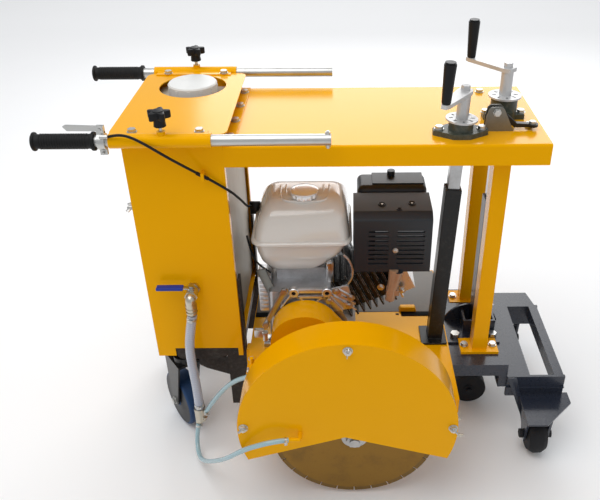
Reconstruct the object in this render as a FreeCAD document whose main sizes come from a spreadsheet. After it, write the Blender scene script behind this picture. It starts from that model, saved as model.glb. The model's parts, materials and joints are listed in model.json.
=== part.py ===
"""Walk-behind concrete saw: a parametric assembly of separate sub-parts.

+X is the direction of travel, -Y is the blade side and +Z is up. The frame's origin stands on the
floor under the middle of the machine. Sub-parts are built about the chassis centre line, and
frame_x and frame_y carry them to the frame's origin. Lengths are millimetres, angles degrees.
"""
import FreeCAD, Part
import math
import os
import re
import Sketcher

# Driving dimensions, by assembly. Each becomes a named cell of the sheet.
SIZES = {
    "frame": {
        "frame_x": 18, "frame_y": 113, "gap": 0.3, "weld": 1,
    },
    "table": {
        "table_rear": -256, "table_front": 469, "table_half": 191, "table_top": 872,
        "table_skirt": 50, "table_sheet": 4, "table_bend": 6, "table_bolt_x": 363, "table_bolt_y": 145,
        "strip_wide": 24, "strip_thick": 3,
    },
    "tank housing": {
        "housing_rear": -478, "housing_bottom": 278, "housing_sheet": 3,
        "housing_floor": 303, "notch_rear": -432, "notch_front": -268, "lip_wide": 18, "clip_x": -307,
        "clip_z": 808,
        "cover_rear": -499, "cover_front": -243, "cover_out": 13, "cover_under": 904,
        "cover_thick": 3, "cover_corner": 20, "filler_x": -367, "filler_in": 86, "filler_hole": 83,
    },
    "water tank": {
        "tank_gap": 5, "tank_wall": 4, "tank_top": 884, "tank_round": 22, "neck_radius": 52,
        "neck_top": 912, "cap_radius": 61, "cap_skirt": 20, "cap_wall": 6, "tank_front_gap": 8,
    },
    "handles": {
        "handle_out": 34, "handle_z": 902, "handle_radius": 12.5, "handle_wall": 2,
        "handle_rear": -648, "handle_front": -17, "socket_rear": -488, "socket_front": -271,
        "socket_radius": 16, "flange_thick": 3, "flange_lap": 4, "flange_rear": -476,
        "flange_front": -283, "grip_radius": 17, "grip_long": 134, "grip_collar": 20.5,
        "knob_x": -376, "knob_hub": 15, "knob_lobe": 8.5, "knob_ring": 17, "knob_thick": 17,
        "knob_stem": 11, "knob_stem_long": 17, "stud_radius": 4, "knob_rise": 14, "boss_radius": 9,
        "boss_rise": 6, "stop_x": -24, "stop_radius": 3, "stop_long": 40, "clamp_x": -503,
        "clamp_wide": 16, "clamp_radius": 18, "lever_long": 72, "lever_pivot_rise": 28,
        "lever_pin": 3, "lever_thick": 5,
    },
    "front posts": {
        "post_x": 375.5, "post_near": -123, "post_far": 104, "post_wide": 40, "post_wall": 3,
        "foot_long": 102, "foot_wide": 60, "foot_thick": 8,
    },
    "front base": {
        "base_rear": 295, "base_front": 446, "base_near": -197, "base_far": 150, "base_top": 243,
        "base_skirt": 38, "base_sheet": 5,
    },
    "guide frame": {
        "guide_top": 205, "bar_deep": 40, "bar_sheet": 5, "bar_a_front": 508, "bar_b_rear": 573,
        "bar_b_front": 598, "web_thick": 8, "web_drop": 67, "web_far": 111,
        "hood_near_out": 120, "hood_far_out": 72, "hood_thick": 5,
        "hood_rear": 484, "hood_front": 616, "hood_cut": 80, "hood_end": 535,
        "roller_x": 526, "roller_near": -260, "roller_far": 149, "roller_radius": 52,
        "roller_wide": 48, "roller_crown": 9, "roller_lift": 3, "cheek_thick": 6, "cheek_gap": 3,
        "axle_radius": 8, "axle_end": 14, "cheek_wide": 34, "bar_lap": 22,
    },
    "jack bracket": {
        "bracket_rear": 290, "bracket_front": 438, "bracket_near": -109,
        "bracket_thick": 6, "ear_radius": 80, "ear_x": 372, "ear_y": -5, "ear_drop": 21, "upright_high": 45,
    },
    "rear chassis": {
        "beam_rear": -432, "beam_front": -262, "beam_drop": 41, "beam_round": 18, "beam_in": 100,
        "rail_in": 26, "rail_wide": 30, "rail_deep": 16, "rail_space": 9, "rail_low": 95,
        "rail_high": 510, "rail_heel": -300, "rail_heel_top": 200, "mount_thick": 6,
        "mount_rear": -474, "mount_front": -262, "cross_low": 250,
    },
    "casters": {
        "caster_x": -421, "caster_in": 29, "caster_trail": 38, "caster_near_turn": -54,
        "caster_far_turn": 24, "caster_radius": 80, "caster_wide": 46, "caster_head": 28,
        "caster_head_deep": 20, "caster_bolt": 60,
        "fork_thick": 5, "fork_gap": 4, "caster_axle": 6,
    },
    "front wheels": {
        "carriage_x": 375, "carriage_rise": 25, "wheel_radius": 49, "wheel_wide": 30,
        "wheel_near": -67, "wheel_far": 62, "wheel_axle": 8, "hanger_thick": 8, "hanger_wide": 44,
        "beam_top": 192, "beam_thick_front": 10,
    },
    "jacks": {
        "jack_rake": 2.1, "jack_1_x": 252, "jack_1_y": -128, "jack_1_z": 300, "jack_1_wide": 38,
        "jack_1_top": 738, "jack_2_x": 388, "jack_2_y": -30, "jack_2_wide": 42, "jack_2_top": 658,
        "jack_wall": 4, "jack_play": 2, "jack_inner_wall": 3, "nut_long": 30, "nut_drop": 250,
        "screw_radius": 8, "screw_low": 360, "inner_low": 600, "screw_low_2": 235,
        "inner_low_2": 400, "nut_2_z": 300,
    },
    "cranks": {
        "casting_high": 42, "casting_2_high": 66, "casting_radius": 28, "casting_2_radius": 31,
        "casting_flange": 12, "casting_reach": 48, "casting_lug": 14, "disc_radius": 36.5,
        "disc_2_radius": 38.5,
        "disc_thick": 4, "column_radius": 14, "column_high": 56, "arm_long": 106, "arm_wide": 20,
        "arm_thick": 9, "arm_1_turn": 239, "arm_2_turn": 133, "spindle_radius": 5,
        "crank_grip_long": 85, "crank_grip_low": 10, "crank_grip_high": 13.5, "casting_bore": 12,
    },
    "lock": {
        "lock_x": 355, "lock_y": -104, "lock_high": 57, "lock_wide": 46, "lock_reach": 42, "lock_thick": 4,
        "lock_inside": 14, "lock_pin": 4, "lock_arm": 78,
    },
    "water valve": {
        "valve_x": -362, "valve_z": 496, "valve_radius": 13, "valve_out": 33, "valve_hose_out": 46,
        "valve_lever_long": 84, "valve_lever_wide": 18, "valve_lever_thick": 5, "valve_stem": 4,
        "elbow_radius": 11,
        "supply_radius": 12, "branch_radius": 6, "cable_radius": 3, "splitter_x": -380, "splitter_z": 94,
    },
    "deck": {
        "deck_rear": -240, "deck_front": 286, "deck_near": -369, "deck_far": 190, "deck_top": 287,
        "deck_skirt": 44, "deck_sheet": 6, "well_rear": -150, "well_front": 112,
    },
    "engine": {
        "shaft_x": -85, "shaft_z": 378, "crankshaft_radius": 12.7,
        "case_rear": -182, "case_front": 40, "case_near": -182, "case_far": 96, "case_top": 476,
        "case_wall": 14,
        "fuel_rear": -214, "fuel_front": 24, "fuel_near": -150, "fuel_far": 58, "fuel_low": 508,
        "fuel_high": 706, "fuel_round": 16, "fuel_seam": 594, "seam_out": 6, "seam_thick": 8,
        "fuel_in": 9, "fuel_wall": 3, "fuel_flat_near": -118, "fuel_flat_far": -50, "fuel_slope": 66,
        "fuel_flat_rear": 40, "fuel_flat_front": 24, "fuel_cap_x": -86, "fuel_cap_y": -92,
        "fuel_cap_radius": 32, "fuel_cap_high": 20,
        "cylinder_turn": 25, "cylinder_start": 96, "cylinder_long": 150, "cylinder_half": 62,
        "cylinder_y": -64, "cylinder_deep": 150, "fin_count": 9, "fin_thick": 5, "fin_deep": 16,
        "rocker_long": 38, "rocker_half": 46,
        "muffler_rear": 34, "muffler_front": 224, "muffler_near": -153, "muffler_far": -40,
        "muffler_low": 514, "muffler_seat": 541, "muffler_high": 680, "muffler_slope": 18, "muffler_sheet": 3,
        "exhaust_x": 146,
        "cleaner_rear": 45, "cleaner_front": 221, "cleaner_near": -36, "cleaner_far": 52,
        "cleaner_low": 540, "cleaner_high": 690, "cleaner_round": 16,
        "starter_radius": 122, "starter_deep": 74, "starter_bore": 96, "starter_cap": 24,
    },
    "drive": {
        "blade_x": 32, "blade_z": 213, "blade_y": -409, "blade_radius": 200, "blade_thick": 3.2,
        "slot_count": 28, "slot_deep": 12, "slot_wide": 3, "bore_radius": 12.7,
        "blade_flange": 32, "blade_flange_thick": 10, "shaft_radius": 15, "bearing_radius": 27,
        "bearing_near": -352, "bearing_far": -272, "pulley_y": -226, "pulley_wide": 40,
        "drive_pulley": 52, "driven_pulley": 62, "belt_thick": 8, "belt_wide": 30,
        "belt_cover_near": -262, "belt_cover_far": -192, "belt_cover_x": -88, "belt_cover_z": 371,
        "belt_cover_radius": 86, "belt_cover_sheet": 3,
    },
    "guard": {
        "guard_x": 15, "guard_z": 271, "guard_radius": 257, "guard_near": -452, "guard_far": -369,
        "guard_sheet": 4, "guard_plate": 3, "guard_corner": 96, "vee_x": -6, "vee_z": 23,
        "guard_bore": 30,
        "barb_x": -96, "barb_z": 263, "inlet_in": 3.35, "inlet_turn": 28, "inlet_out": 14, "inlet_drop": 14,
    },
    "fasteners": {
        "bolt_head": 8, "bolt_head_high": 6, "bolt_shank": 4, "big_head": 11, "big_head_high": 9,
        "big_shank": 6, "washer": 11, "washer_thick": 2, "hole_play": 0.5, "strip_pitch": 97,
        "socket_bolt_rear": -446, "socket_bolt_front": -301, "socket_bolt_out": 5,
        "foot_bolt": 38.5, "bracket_bolt_rear": 318, "bracket_bolt_front": 421,
        "bracket_bolt_y": -81,
    },
}
VALUE = {name: value for group in SIZES.values() for name, value in group.items()}

# Sizes that follow from the driving ones.
FOLLOWING = {
    "handle_y": "table_half + handle_out",
    "cover_half": "table_half + cover_out",
    "flange_in": "table_half - flange_lap",
    "socket_bolt_y": "table_half + socket_bolt_out",
    "filler_y": "table_half - filler_in",
    "mount_half": "table_half - tank_gap",
    "rail_y": "table_half - rail_in",
    "caster_y": "table_half - caster_in",
    "valve_hose_y": "0 - table_half - valve_hose_out",
    "inlet_x": "guard_x - (guard_radius - inlet_in) * cos(inlet_turn)",
    "inlet_top": "guard_z + (guard_radius - inlet_in) * sin(inlet_turn)",
    "inlet_y": "guard_far + inlet_out",
}


def any_of(names):
    """Matches any of the names as a whole word."""
    return re.compile(r"\b(" + "|".join(sorted(names, key=len, reverse=True)) + r")\b")


WORDS, FOLLOWING_WORDS = any_of(VALUE), any_of(FOLLOWING)

X_AXIS = FreeCAD.Vector(1, 0, 0)
Y_AXIS = FreeCAD.Vector(0, 1, 0)
Z_AXIS = FreeCAD.Vector(0, 0, 1)
ALONG = {
    "x": FreeCAD.Rotation(Y_AXIS, 90), "y": FreeCAD.Rotation(X_AXIS, -90),
    "z": FreeCAD.Rotation(), "-y": FreeCAD.Rotation(X_AXIS, 90), "-z": FreeCAD.Rotation(X_AXIS, 180),
}

doc = FreeCAD.newDocument("concrete_saw")
sheet = doc.addObject("Spreadsheet::Sheet", "Sizes")
nodes = []

# Places that several sub-parts share, as expressions of the sizes.
SCREW_X = "(jack_1_x + (table_top - jack_1_z) * tan(jack_rake))"
RAKE = FreeCAD.Rotation(Y_AXIS, VALUE["jack_rake"])
LEAN = FreeCAD.Rotation(Y_AXIS, -VALUE["cylinder_turn"])
TABLE_BOLTS = [("table_bolt_x", "table_bolt_y"), ("table_bolt_x + 77", "table_bolt_y - 228")]
SOCKET_BOLTS = [(x, y) for x in ("socket_bolt_rear", "socket_bolt_front")
                for y in ("-socket_bolt_y", "socket_bolt_y")]
FOOT_BOLTS = [(f"post_x {sign} foot_bolt", y) for sign in "-+" for y in ("post_near", "post_far")]
BRACKET_BOLTS = [(x, "bracket_bolt_y") for x in ("bracket_bolt_rear", "bracket_bolt_front")]
CASTING_BOLTS = [(f"{SCREW_X} {sign} casting_reach", "jack_1_y") for sign in "-+"]
CASTING_BOLTS += [(f"jack_2_x {sign} (casting_reach - 6)", "jack_2_y") for sign in "-+"]
CASTER_BOLTS = [("beam_rear - 21", f"{sign}{y}") for sign in ("-", "") for y in ("caster_bolt", "rail_y")]
DECK_BOLTS = [(x, y) for x in ("case_rear - 12", "case_front + 12")
              for y in ("case_near + 32", "case_far - 32")]
GUARD_BOLTS = [("guard_x", "guard_z + guard_radius - 16"), ("guard_x + 15 - guard_radius", "guard_z + 12"),
               ("guard_x + guard_radius - 12", "guard_z + 6")]


def fill_sheet():
    """Writes every driving dimension to its own aliased cell."""
    row = 1
    for group, sizes in SIZES.items():
        sheet.set(f"A{row}", group)
        for name, value in sizes.items():
            row += 1
            sheet.set(f"A{row}", name)
            sheet.set(f"B{row}", str(value))
            sheet.setAlias(f"B{row}", name)
        row += 2
    doc.recompute()


def formula(text):
    """Turns a plain expression of size names into one that reads the sheet."""
    whole = FOLLOWING_WORDS.sub(lambda found: f"({FOLLOWING[found.group()]})", str(text))
    return WORDS.sub(r"Sizes.\1", whole)


def bind(thing, **sizes):
    for name, text in sizes.items():
        thing.setExpression(name, formula(text))
    return thing


def place(thing, x="0", y="0", z="0", turn=None):
    if turn:
        thing.Placement = FreeCAD.Placement(FreeCAD.Vector(), turn)
    for letter, text in (("x", x), ("y", y), ("z", z)):
        thing.setExpression(f"Placement.Base.{letter}", formula(text))
    return thing


def node(label, thing, x="0", y="0", z="0", turn=None):
    """Names a finished sub-part and sets it in the frame."""
    thing.Label = label
    place(thing, f"frame_x + {x}", f"frame_y + {y}", z, turn)
    nodes.append(thing)
    return thing


def box(x, y, z):
    """A box between two planes on each axis."""
    thing = doc.addObject("Part::Box", "box")
    bind(thing, Length=f"({x[1]}) - ({x[0]})", Width=f"({y[1]}) - ({y[0]})", Height=f"({z[1]}) - ({z[0]})")
    return place(thing, x[0], y[0], z[0])


def cylinder(radius, length, x="0", y="0", z="0", along="z"):
    thing = doc.addObject("Part::Cylinder", "cylinder")
    bind(thing, Radius=radius, Height=length)
    return place(thing, x, y, z, ALONG[along])


def cone(low, high, length, x="0", y="0", z="0", along="z"):
    thing = doc.addObject("Part::Cone", "cone")
    bind(thing, Radius1=low, Radius2=high, Height=length)
    return place(thing, x, y, z, ALONG[along])


def hexagon(radius, length, x="0", y="0", z="0", along="z"):
    """A hexagonal prism; the radius reaches its flats."""
    thing = doc.addObject("Part::Prism", "hexagon")
    thing.Polygon = 6
    bind(thing, Circumradius=f"{radius} / cos(30)", Height=length)
    return place(thing, x, y, z, ALONG[along])


def fuse(*parts):
    thing = doc.addObject("Part::MultiFuse", "joined")
    thing.Shapes = list(parts)
    thing.Refine = True
    return thing


def cut(base, *tools):
    thing = doc.addObject("Part::Cut", "cut")
    thing.Base = base
    thing.Tool = tools[0] if len(tools) == 1 else group(*tools)
    return thing


def common(*parts):
    thing = doc.addObject("Part::MultiCommon", "shared")
    thing.Shapes = list(parts)
    return thing


def group(*parts):
    """Separate solids that share one node."""
    thing = doc.addObject("Part::Compound", "group")
    thing.Links = list(parts)
    return thing


def turned(thing, turn, x="0", y="0", z="0"):
    """The same shape, turned and then moved."""
    return place(group(thing), x, y, z, turn)


def rounded(base, radius, chosen):
    """Rounds the edges that chosen picks, once the base is built."""
    doc.recompute()
    picked = [n for n, edge in enumerate(base.Shape.Edges, 1) if chosen(edge)]
    thing = doc.addObject("Part::Fillet", "rounded")
    thing.Base = base
    thing.Edges = [(n, radius, radius) for n in picked]
    return thing


def runs_along(edge, axis):
    """Is this a straight edge along an axis?"""
    if edge.Curve.TypeId != "Part::GeomLine":
        return False
    way = edge.Vertexes[-1].Point - edge.Vertexes[0].Point
    return abs(way.dot(axis)) > 0.999 * way.Length


def size(name):
    return float(sheet.get(name))


def new_body(name):
    return doc.addObject("PartDesign::Body", name)


def sketch_on(body, role):
    sketch = body.newObject("Sketcher::SketchObject", "sketch")
    origin_plane = next(f for f in body.Origin.OriginFeatures if f.Role == role)
    sketch.AttachmentSupport = [(origin_plane, "")]
    sketch.MapMode = "FlatFace"
    return sketch


def fix_point(sketch, geometry, which, x, y):
    for kind, text in (("DistanceX", x), ("DistanceY", y)):
        index = sketch.addConstraint(Sketcher.Constraint(kind, -1, 1, geometry, which, 1.0 + geometry))
        sketch.setExpression(f"Constraints[{index}]", formula(text))


def outline(body, role, points):
    """A closed outline whose corners are bound to expressions."""
    sketch = sketch_on(body, role)
    count = len(points)
    ring = [FreeCAD.Vector(math.cos(2 * math.pi * n / count), math.sin(2 * math.pi * n / count), 0)
            for n in range(count)]
    for n in range(count):
        sketch.addGeometry(Part.LineSegment(ring[n], ring[(n + 1) % count]), False)
    for n in range(count):
        sketch.addConstraint(Sketcher.Constraint("Coincident", n, 2, (n + 1) % count, 1))
    for n, (x, y) in enumerate(points):
        fix_point(sketch, n, 1, x, y)
    return sketch


def circles(body, role, *rounds):
    """A sketch of circles, each given as (x, y, radius)."""
    sketch = sketch_on(body, role)
    for n, (x, y, radius) in enumerate(rounds):
        sketch.addGeometry(Part.Circle(FreeCAD.Vector(n, n, 0), Z_AXIS, 1.0), False)
        fix_point(sketch, n, 3, x, y)
        index = sketch.addConstraint(Sketcher.Constraint("Radius", n, 1.0))
        sketch.setExpression(f"Constraints[{index}]", formula(radius))
    return sketch


def padded(role, points, length, midplane=False):
    """A body extruded from one outline."""
    body = new_body("plate")
    pad = body.newObject("PartDesign::Pad", "pad")
    pad.Profile = outline(body, role, points)
    pad.Midplane = midplane
    bind(pad, Length=length)
    return body


def revolved(role, points, axis="V_Axis"):
    """A body turned from one outline."""
    body = new_body("turned")
    turn = body.newObject("PartDesign::Revolution", "turn")
    profile = outline(body, role, points)
    turn.Profile = profile
    turn.ReferenceAxis = (profile, [axis])
    turn.Angle = 360
    return body


def tray(x, y, top, depth, sheet_thick):
    """A sheet folded down on all four sides and open below."""
    shell = box(x, y, (f"{top} - {depth}", top))
    inside = box((f"{x[0]} + {sheet_thick}", f"{x[1]} - {sheet_thick}"),
                 (f"{y[0]} + {sheet_thick}", f"{y[1]} - {sheet_thick}"),
                 (f"{top} - {depth} - weld", f"{top} - {sheet_thick}"))
    return cut(shell, inside)


def square_tube(x, y, z, wide, wall):
    """An upright square tube about (x, y), from z[0] to z[1]."""
    half, hole = f"{wide} / 2", f"({wide} / 2 - {wall})"
    outer = box((f"{x} - {half}", f"{x} + {half}"), (f"{y} - {half}", f"{y} + {half}"), z)
    inner = box((f"{x} - {hole}", f"{x} + {hole}"), (f"{y} - {hole}", f"{y} + {hole}"),
                (f"{z[0]} - weld", f"{z[1]} + weld"))
    return cut(outer, inner)


def bolt(x, y, seat, grip, head="bolt_head", high="bolt_head_high", shank="bolt_shank", along="z"):
    """A hexagon bolt whose washer rests at seat and whose shank goes through grip."""
    spots = {"z": lambda d: (x, y, f"{seat} + ({d})"), "-z": lambda d: (x, y, f"{seat} - ({d})"),
             "-y": lambda d: (x, f"{seat} - ({d})", y)}[along]
    washer = cylinder("washer", "washer_thick", *spots("0"), along)
    cap = hexagon(head, high, *spots("washer_thick"), along)
    pin = cylinder(shank, f"{grip} + washer_thick + weld", *spots(f"0 - ({grip})"), along)
    return fuse(washer, cap, pin)


def bolt_hole(x, y, seat, grip, shank="bolt_shank", along="z"):
    spots = {"z": (x, y, f"{seat} - ({grip} + weld)"), "-z": (x, y, f"{seat} + ({grip} + weld)"),
             "-y": (x, f"{seat} + ({grip} + weld)", y)}[along]
    return cylinder(f"{shank} + hole_play", f"{grip} + 2 * weld", *spots, along)


def cord_tube(points, radius):
    """A plain tube along straight runs joined by arcs as large as the runs allow."""
    spots = [FreeCAD.Vector(*p) for p in points]
    edges, start, radii = [], spots[0], []
    for before, corner, after in zip(spots, spots[1:], spots[2:]):
        back, on = before - corner, after - corner
        turn = math.pi - back.getAngle(on)
        reach = 0.45 * min(back.Length, on.Length)
        radii.append(reach / math.tan(turn / 2))
        first = corner + back.normalize() * reach
        last = corner + on.normalize() * reach
        inward = (first + last) * 0.5 - corner
        middle = corner + inward.normalize() * (
            math.hypot(radii[-1], reach) - radii[-1])
        edges += [Part.LineSegment(start, first).toShape(), Part.Arc(first, middle, last).toShape()]
        start = last
    edges.append(Part.LineSegment(start, spots[-1]).toShape())
    path = Part.Wire(edges)
    way = spots[1] - spots[0]
    ring = Part.Wire(Part.Circle(spots[0], way, radius).toShape())
    tube = path.makePipeShell([ring], True, False)
    share = tube.Volume / (math.pi * radius ** 2 * path.Length)
    print("cord: length %.0f, least radius %.0f, turns %s, volume share %.4f"
          % (path.Length, min(radii), [round(r) for r in radii], share))
    return tube


def cord(label, points, radius):
    thing = doc.addObject("Part::Feature", label)
    thing.Shape = cord_tube(points, radius)
    return node(label, thing)


# Table, tank housing and the parts bolted to them
def make_table():
    whole = box(("table_rear", "table_front"), ("-table_half", "table_half"),
                ("table_top - table_skirt", "table_top"))
    top = FreeCAD.Vector(0, 0, VALUE["table_top"])
    shell = rounded(whole, VALUE["table_bend"], lambda e: runs_along(e, X_AXIS)
                    and abs(e.Vertexes[0].Z - top.z) < 0.1)
    inside = box(("table_rear - weld", "table_front - table_sheet"),
                 ("table_sheet - table_half", "table_half - table_sheet"),
                 ("table_top - table_skirt - weld", "table_top - table_sheet"))
    strip = box(("table_rear", "table_rear + strip_wide"),
                ("bolt_head - table_half", "table_half - bolt_head"),
                ("table_top - weld", "table_top + strip_thick"))
    heads = [strip_bolt(n) for n in range(4)]
    plate = fuse(cut(shell, inside), strip, *heads)
    holes = [cylinder("casting_bore + 2 * hole_play", "3 * table_skirt", x, y, "table_top - 2 * table_skirt")
             for x, y in ((SCREW_X, "jack_1_y"), ("jack_2_x", "jack_2_y"))]
    holes += [bolt_hole(x, y, "table_top", "table_sheet") for x, y in TABLE_BOLTS]
    return node("table", cut(plate, *holes))


def strip_bolt(n):
    y = f"({n} - 1.5) * strip_pitch"
    pad = cylinder("washer", "washer_thick", "table_rear + strip_wide / 2", y, "table_top + strip_thick")
    cap = hexagon("bolt_head", "bolt_head_high", "table_rear + strip_wide / 2", y,
                  "table_top + strip_thick + washer_thick - hole_play")
    return fuse(pad, cap)


def make_tank_housing():
    outer = box(("housing_rear", "table_rear"), ("-table_half", "table_half"),
                ("housing_bottom", "cover_under"))
    inner = box(("housing_rear + housing_sheet", "table_rear + weld"),
                ("housing_sheet - table_half", "table_half - housing_sheet"),
                ("housing_bottom - weld", "cover_under + weld"))
    floor = box(("housing_rear", "table_rear"), ("-table_half", "table_half"),
                ("housing_floor", "housing_floor + housing_sheet"))
    lips = [box(("table_rear - housing_sheet", "table_rear"), side, ("housing_bottom", "cover_under"))
            for side in (("-table_half", "lip_wide - table_half"), ("table_half - lip_wide", "table_half"))]
    notch = box(("notch_rear", "notch_front"), ("-table_half - weld", "table_half + weld"),
                ("housing_bottom - weld", "housing_floor"))
    clip = box(("clip_x", "clip_x + 7"), ("-table_half - 22", "-table_half + weld"),
               ("clip_z - 9", "clip_z + 9"))
    shell = fuse(cut(outer, inner), floor, *lips, clip)
    return node("tank_housing", cut(shell, notch, *mount_holes()))


def make_tank_cover():
    whole = box(("cover_rear", "cover_front"), ("-cover_half", "cover_half"),
                ("cover_under", "cover_under + cover_thick"))
    sheet_part = rounded(whole, VALUE["cover_corner"], lambda e: runs_along(e, Z_AXIS))
    filler = cylinder("filler_hole", "4 * cover_thick", "filler_x", "filler_y", "cover_under - cover_thick")
    slots = [box(("socket_rear - weld", "socket_front + weld"),
                 (f"{side} * handle_y - socket_radius - gap", f"{side} * handle_y + socket_radius + gap"),
                 ("cover_under - weld", "cover_under + cover_thick + weld")) for side in (-1, 1)]
    holes = [bolt_hole(x, y, "cover_under + cover_thick", "cover_thick") for x, y in SOCKET_BOLTS]
    return node("tank_cover", cut(sheet_part, filler, *slots, *holes))


def make_water_tank():
    def shell(inset, low, high):
        return box((f"housing_rear + tank_gap + {inset}", f"table_rear - tank_front_gap - {inset}"),
                   (f"tank_gap + {inset} - table_half", f"table_half - tank_gap - {inset}"), (low, high))
    outer = rounded(shell("0", "housing_floor + housing_sheet", "tank_top"), VALUE["tank_round"],
                    lambda e: runs_along(e, X_AXIS) or runs_along(e, Y_AXIS) or runs_along(e, Z_AXIS))
    inner = rounded(shell("tank_wall", "housing_floor + housing_sheet + tank_wall", "tank_top - tank_wall"),
                    VALUE["tank_round"] - VALUE["tank_wall"],
                    lambda e: runs_along(e, X_AXIS) or runs_along(e, Y_AXIS) or runs_along(e, Z_AXIS))
    neck = cylinder("neck_radius", "neck_top - tank_top + tank_wall", "filler_x", "filler_y",
                    "tank_top - tank_wall")
    bore = cylinder("neck_radius - tank_wall", "neck_top - tank_top + 4 * tank_wall", "filler_x",
                    "filler_y", "tank_top - 2 * tank_wall")
    return node("water_tank", cut(fuse(outer, neck), inner, bore))


def make_water_cap():
    low, high = "-cap_skirt", "cap_wall + gap"
    cup = revolved("XZ_Plane", (("0", "gap"), ("neck_radius + gap", "gap"), ("neck_radius + gap", low),
                                ("cap_radius", low), ("cap_radius", "cap_wall / 2"),
                                ("cap_radius - cap_wall / 2", high), ("0", high)))
    ribs = [turned(box(("cap_radius - weld", "cap_radius + 1.5"), ("-3", "3"), ("-cap_skirt", "0")),
                   FreeCAD.Rotation(Z_AXIS, 30 * n)) for n in range(12)]
    return node("water_cap", fuse(cup, *ribs), "filler_x", "filler_y", "neck_top")


def make_handle_sockets():
    solids = []
    for side in (-1, 1):
        y = f"{side} * handle_y"
        if side == -1:
            flange_y = (f"-(handle_y - socket_radius / 2)", "-flange_in")
        else:
            flange_y = ("flange_in", "handle_y - socket_radius / 2")
        barrel = cylinder("socket_radius", "socket_front - socket_rear", "socket_rear", y, "handle_z", "x")
        plate = box(("flange_rear", "flange_front"), flange_y,
                    ("cover_under + cover_thick", "cover_under + cover_thick + flange_thick"))
        boss = cylinder("boss_radius", "socket_radius + boss_rise", "knob_x", y, "handle_z")
        bore = cylinder("handle_radius + gap", "socket_front - socket_rear + 2 * weld", "socket_rear - weld",
                        y, "handle_z", "x")
        thread = cylinder("stud_radius + gap", "socket_radius + boss_rise + weld", "knob_x", y, "handle_z")
        holes = [bolt_hole(x, by, "cover_under + cover_thick + flange_thick", "flange_thick")
                 for x, by in SOCKET_BOLTS if by.startswith("-") == (side == -1)]
        solids.append(cut(fuse(barrel, plate, boss), bore, thread, *holes))
    return node("handle_sockets", group(*solids))


def make_knob(label, side):
    lobes = [cylinder("knob_lobe", "knob_thick", f"knob_ring * cos({72 * n + 18})",
                      f"knob_ring * sin({72 * n + 18})", "knob_stem_long") for n in range(5)]
    hub = cylinder("knob_hub", "knob_thick", z="knob_stem_long")
    stem = cone("knob_stem", "knob_stem * 0.8", "knob_stem_long", z="0")
    stud = cylinder("stud_radius", "socket_radius - handle_radius + boss_rise - gap + knob_rise + weld",
                    z="-(socket_radius - handle_radius + boss_rise - gap + knob_rise)")
    return node(label, fuse(hub, stem, stud, *lobes), "knob_x", f"{side} * handle_y",
                "handle_z + socket_radius + boss_rise + knob_rise")


def make_handle(label, side):
    length = "handle_front - handle_rear"
    outer = cylinder("handle_radius", length, along="x")
    inner = cylinder("handle_radius - handle_wall", f"{length} + 2 * weld", "-weld", along="x")
    tube = cut(outer, inner)
    if side == -1:
        pin = cylinder("stop_radius", "stop_long", "stop_x - handle_rear", "0", "-stop_long / 2")
        head = hexagon("bolt_head - 2", "bolt_head_high", "stop_x - handle_rear", "0", "handle_radius - weld")
        nut = hexagon("bolt_head - 2", "bolt_head_high", "stop_x - handle_rear", "0",
                      "weld - handle_radius - bolt_head_high")
        tube = fuse(tube, pin, head, nut)
    return node(label, tube, "handle_rear", f"{side} * handle_y", "handle_z")


def make_grip(label, side):
    sleeve = cylinder("grip_radius", "grip_long", along="x")
    collar = cylinder("grip_collar", "6", "grip_long - 6", along="x")
    end = cylinder("grip_collar", "5", along="x")
    hollow = cylinder("handle_radius + gap", "grip_long + weld", "3", along="x")
    return node(label, cut(fuse(sleeve, collar, end), hollow), "handle_rear - 3 - gap",
                f"{side} * handle_y", "handle_z")


def make_throttle():
    ring = cylinder("clamp_radius", "clamp_wide", "-clamp_wide / 2", along="x")
    hollow = cylinder("handle_radius + gap", "4 * clamp_wide", "-2 * clamp_wide", along="x")
    tab = box(("-clamp_wide / 2", "clamp_wide / 2"), ("-4", "4"),
              ("-clamp_radius - 12", "-handle_radius - 2"))
    hanger = cylinder("3", "20", "0", "-10", "-clamp_radius - 7", "y")
    ears = [box(("-clamp_wide / 2", "clamp_wide / 2"), y, ("handle_radius + 2", "lever_pivot_rise + 7"))
            for y in (("-lever_thick / 2 - gap - 3", "-lever_thick / 2 - gap"),
                      ("lever_thick / 2 + gap", "lever_thick / 2 + gap + 3"))]
    pin_hole = cylinder("lever_pin + gap", "4 * lever_thick", "0", "-2 * lever_thick", "lever_pivot_rise",
                        "y")
    ferrule = cylinder("4", "18", "0", "-15", "16", "x")
    clamp = cut(fuse(ring, tab, hanger, ferrule, *ears), pin_hole, hollow)
    node("throttle_clamp", clamp, "clamp_x", "-handle_y", "handle_z")
    blade_part = padded("XZ_Plane", (("8", "-5"), ("8", "6"), ("-20", "7"), ("-lever_long", "9"),
                                     ("-lever_long - 6", "6"), ("-lever_long + 2", "-4")),
                        "lever_thick", True)
    pin = cylinder("lever_pin", "lever_thick + 2 * gap + 10", "0", "-lever_thick / 2 - gap - 5", "0", "y")
    node("throttle_lever", fuse(blade_part, pin), "clamp_x", "-handle_y", "handle_z + lever_pivot_rise")


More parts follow.
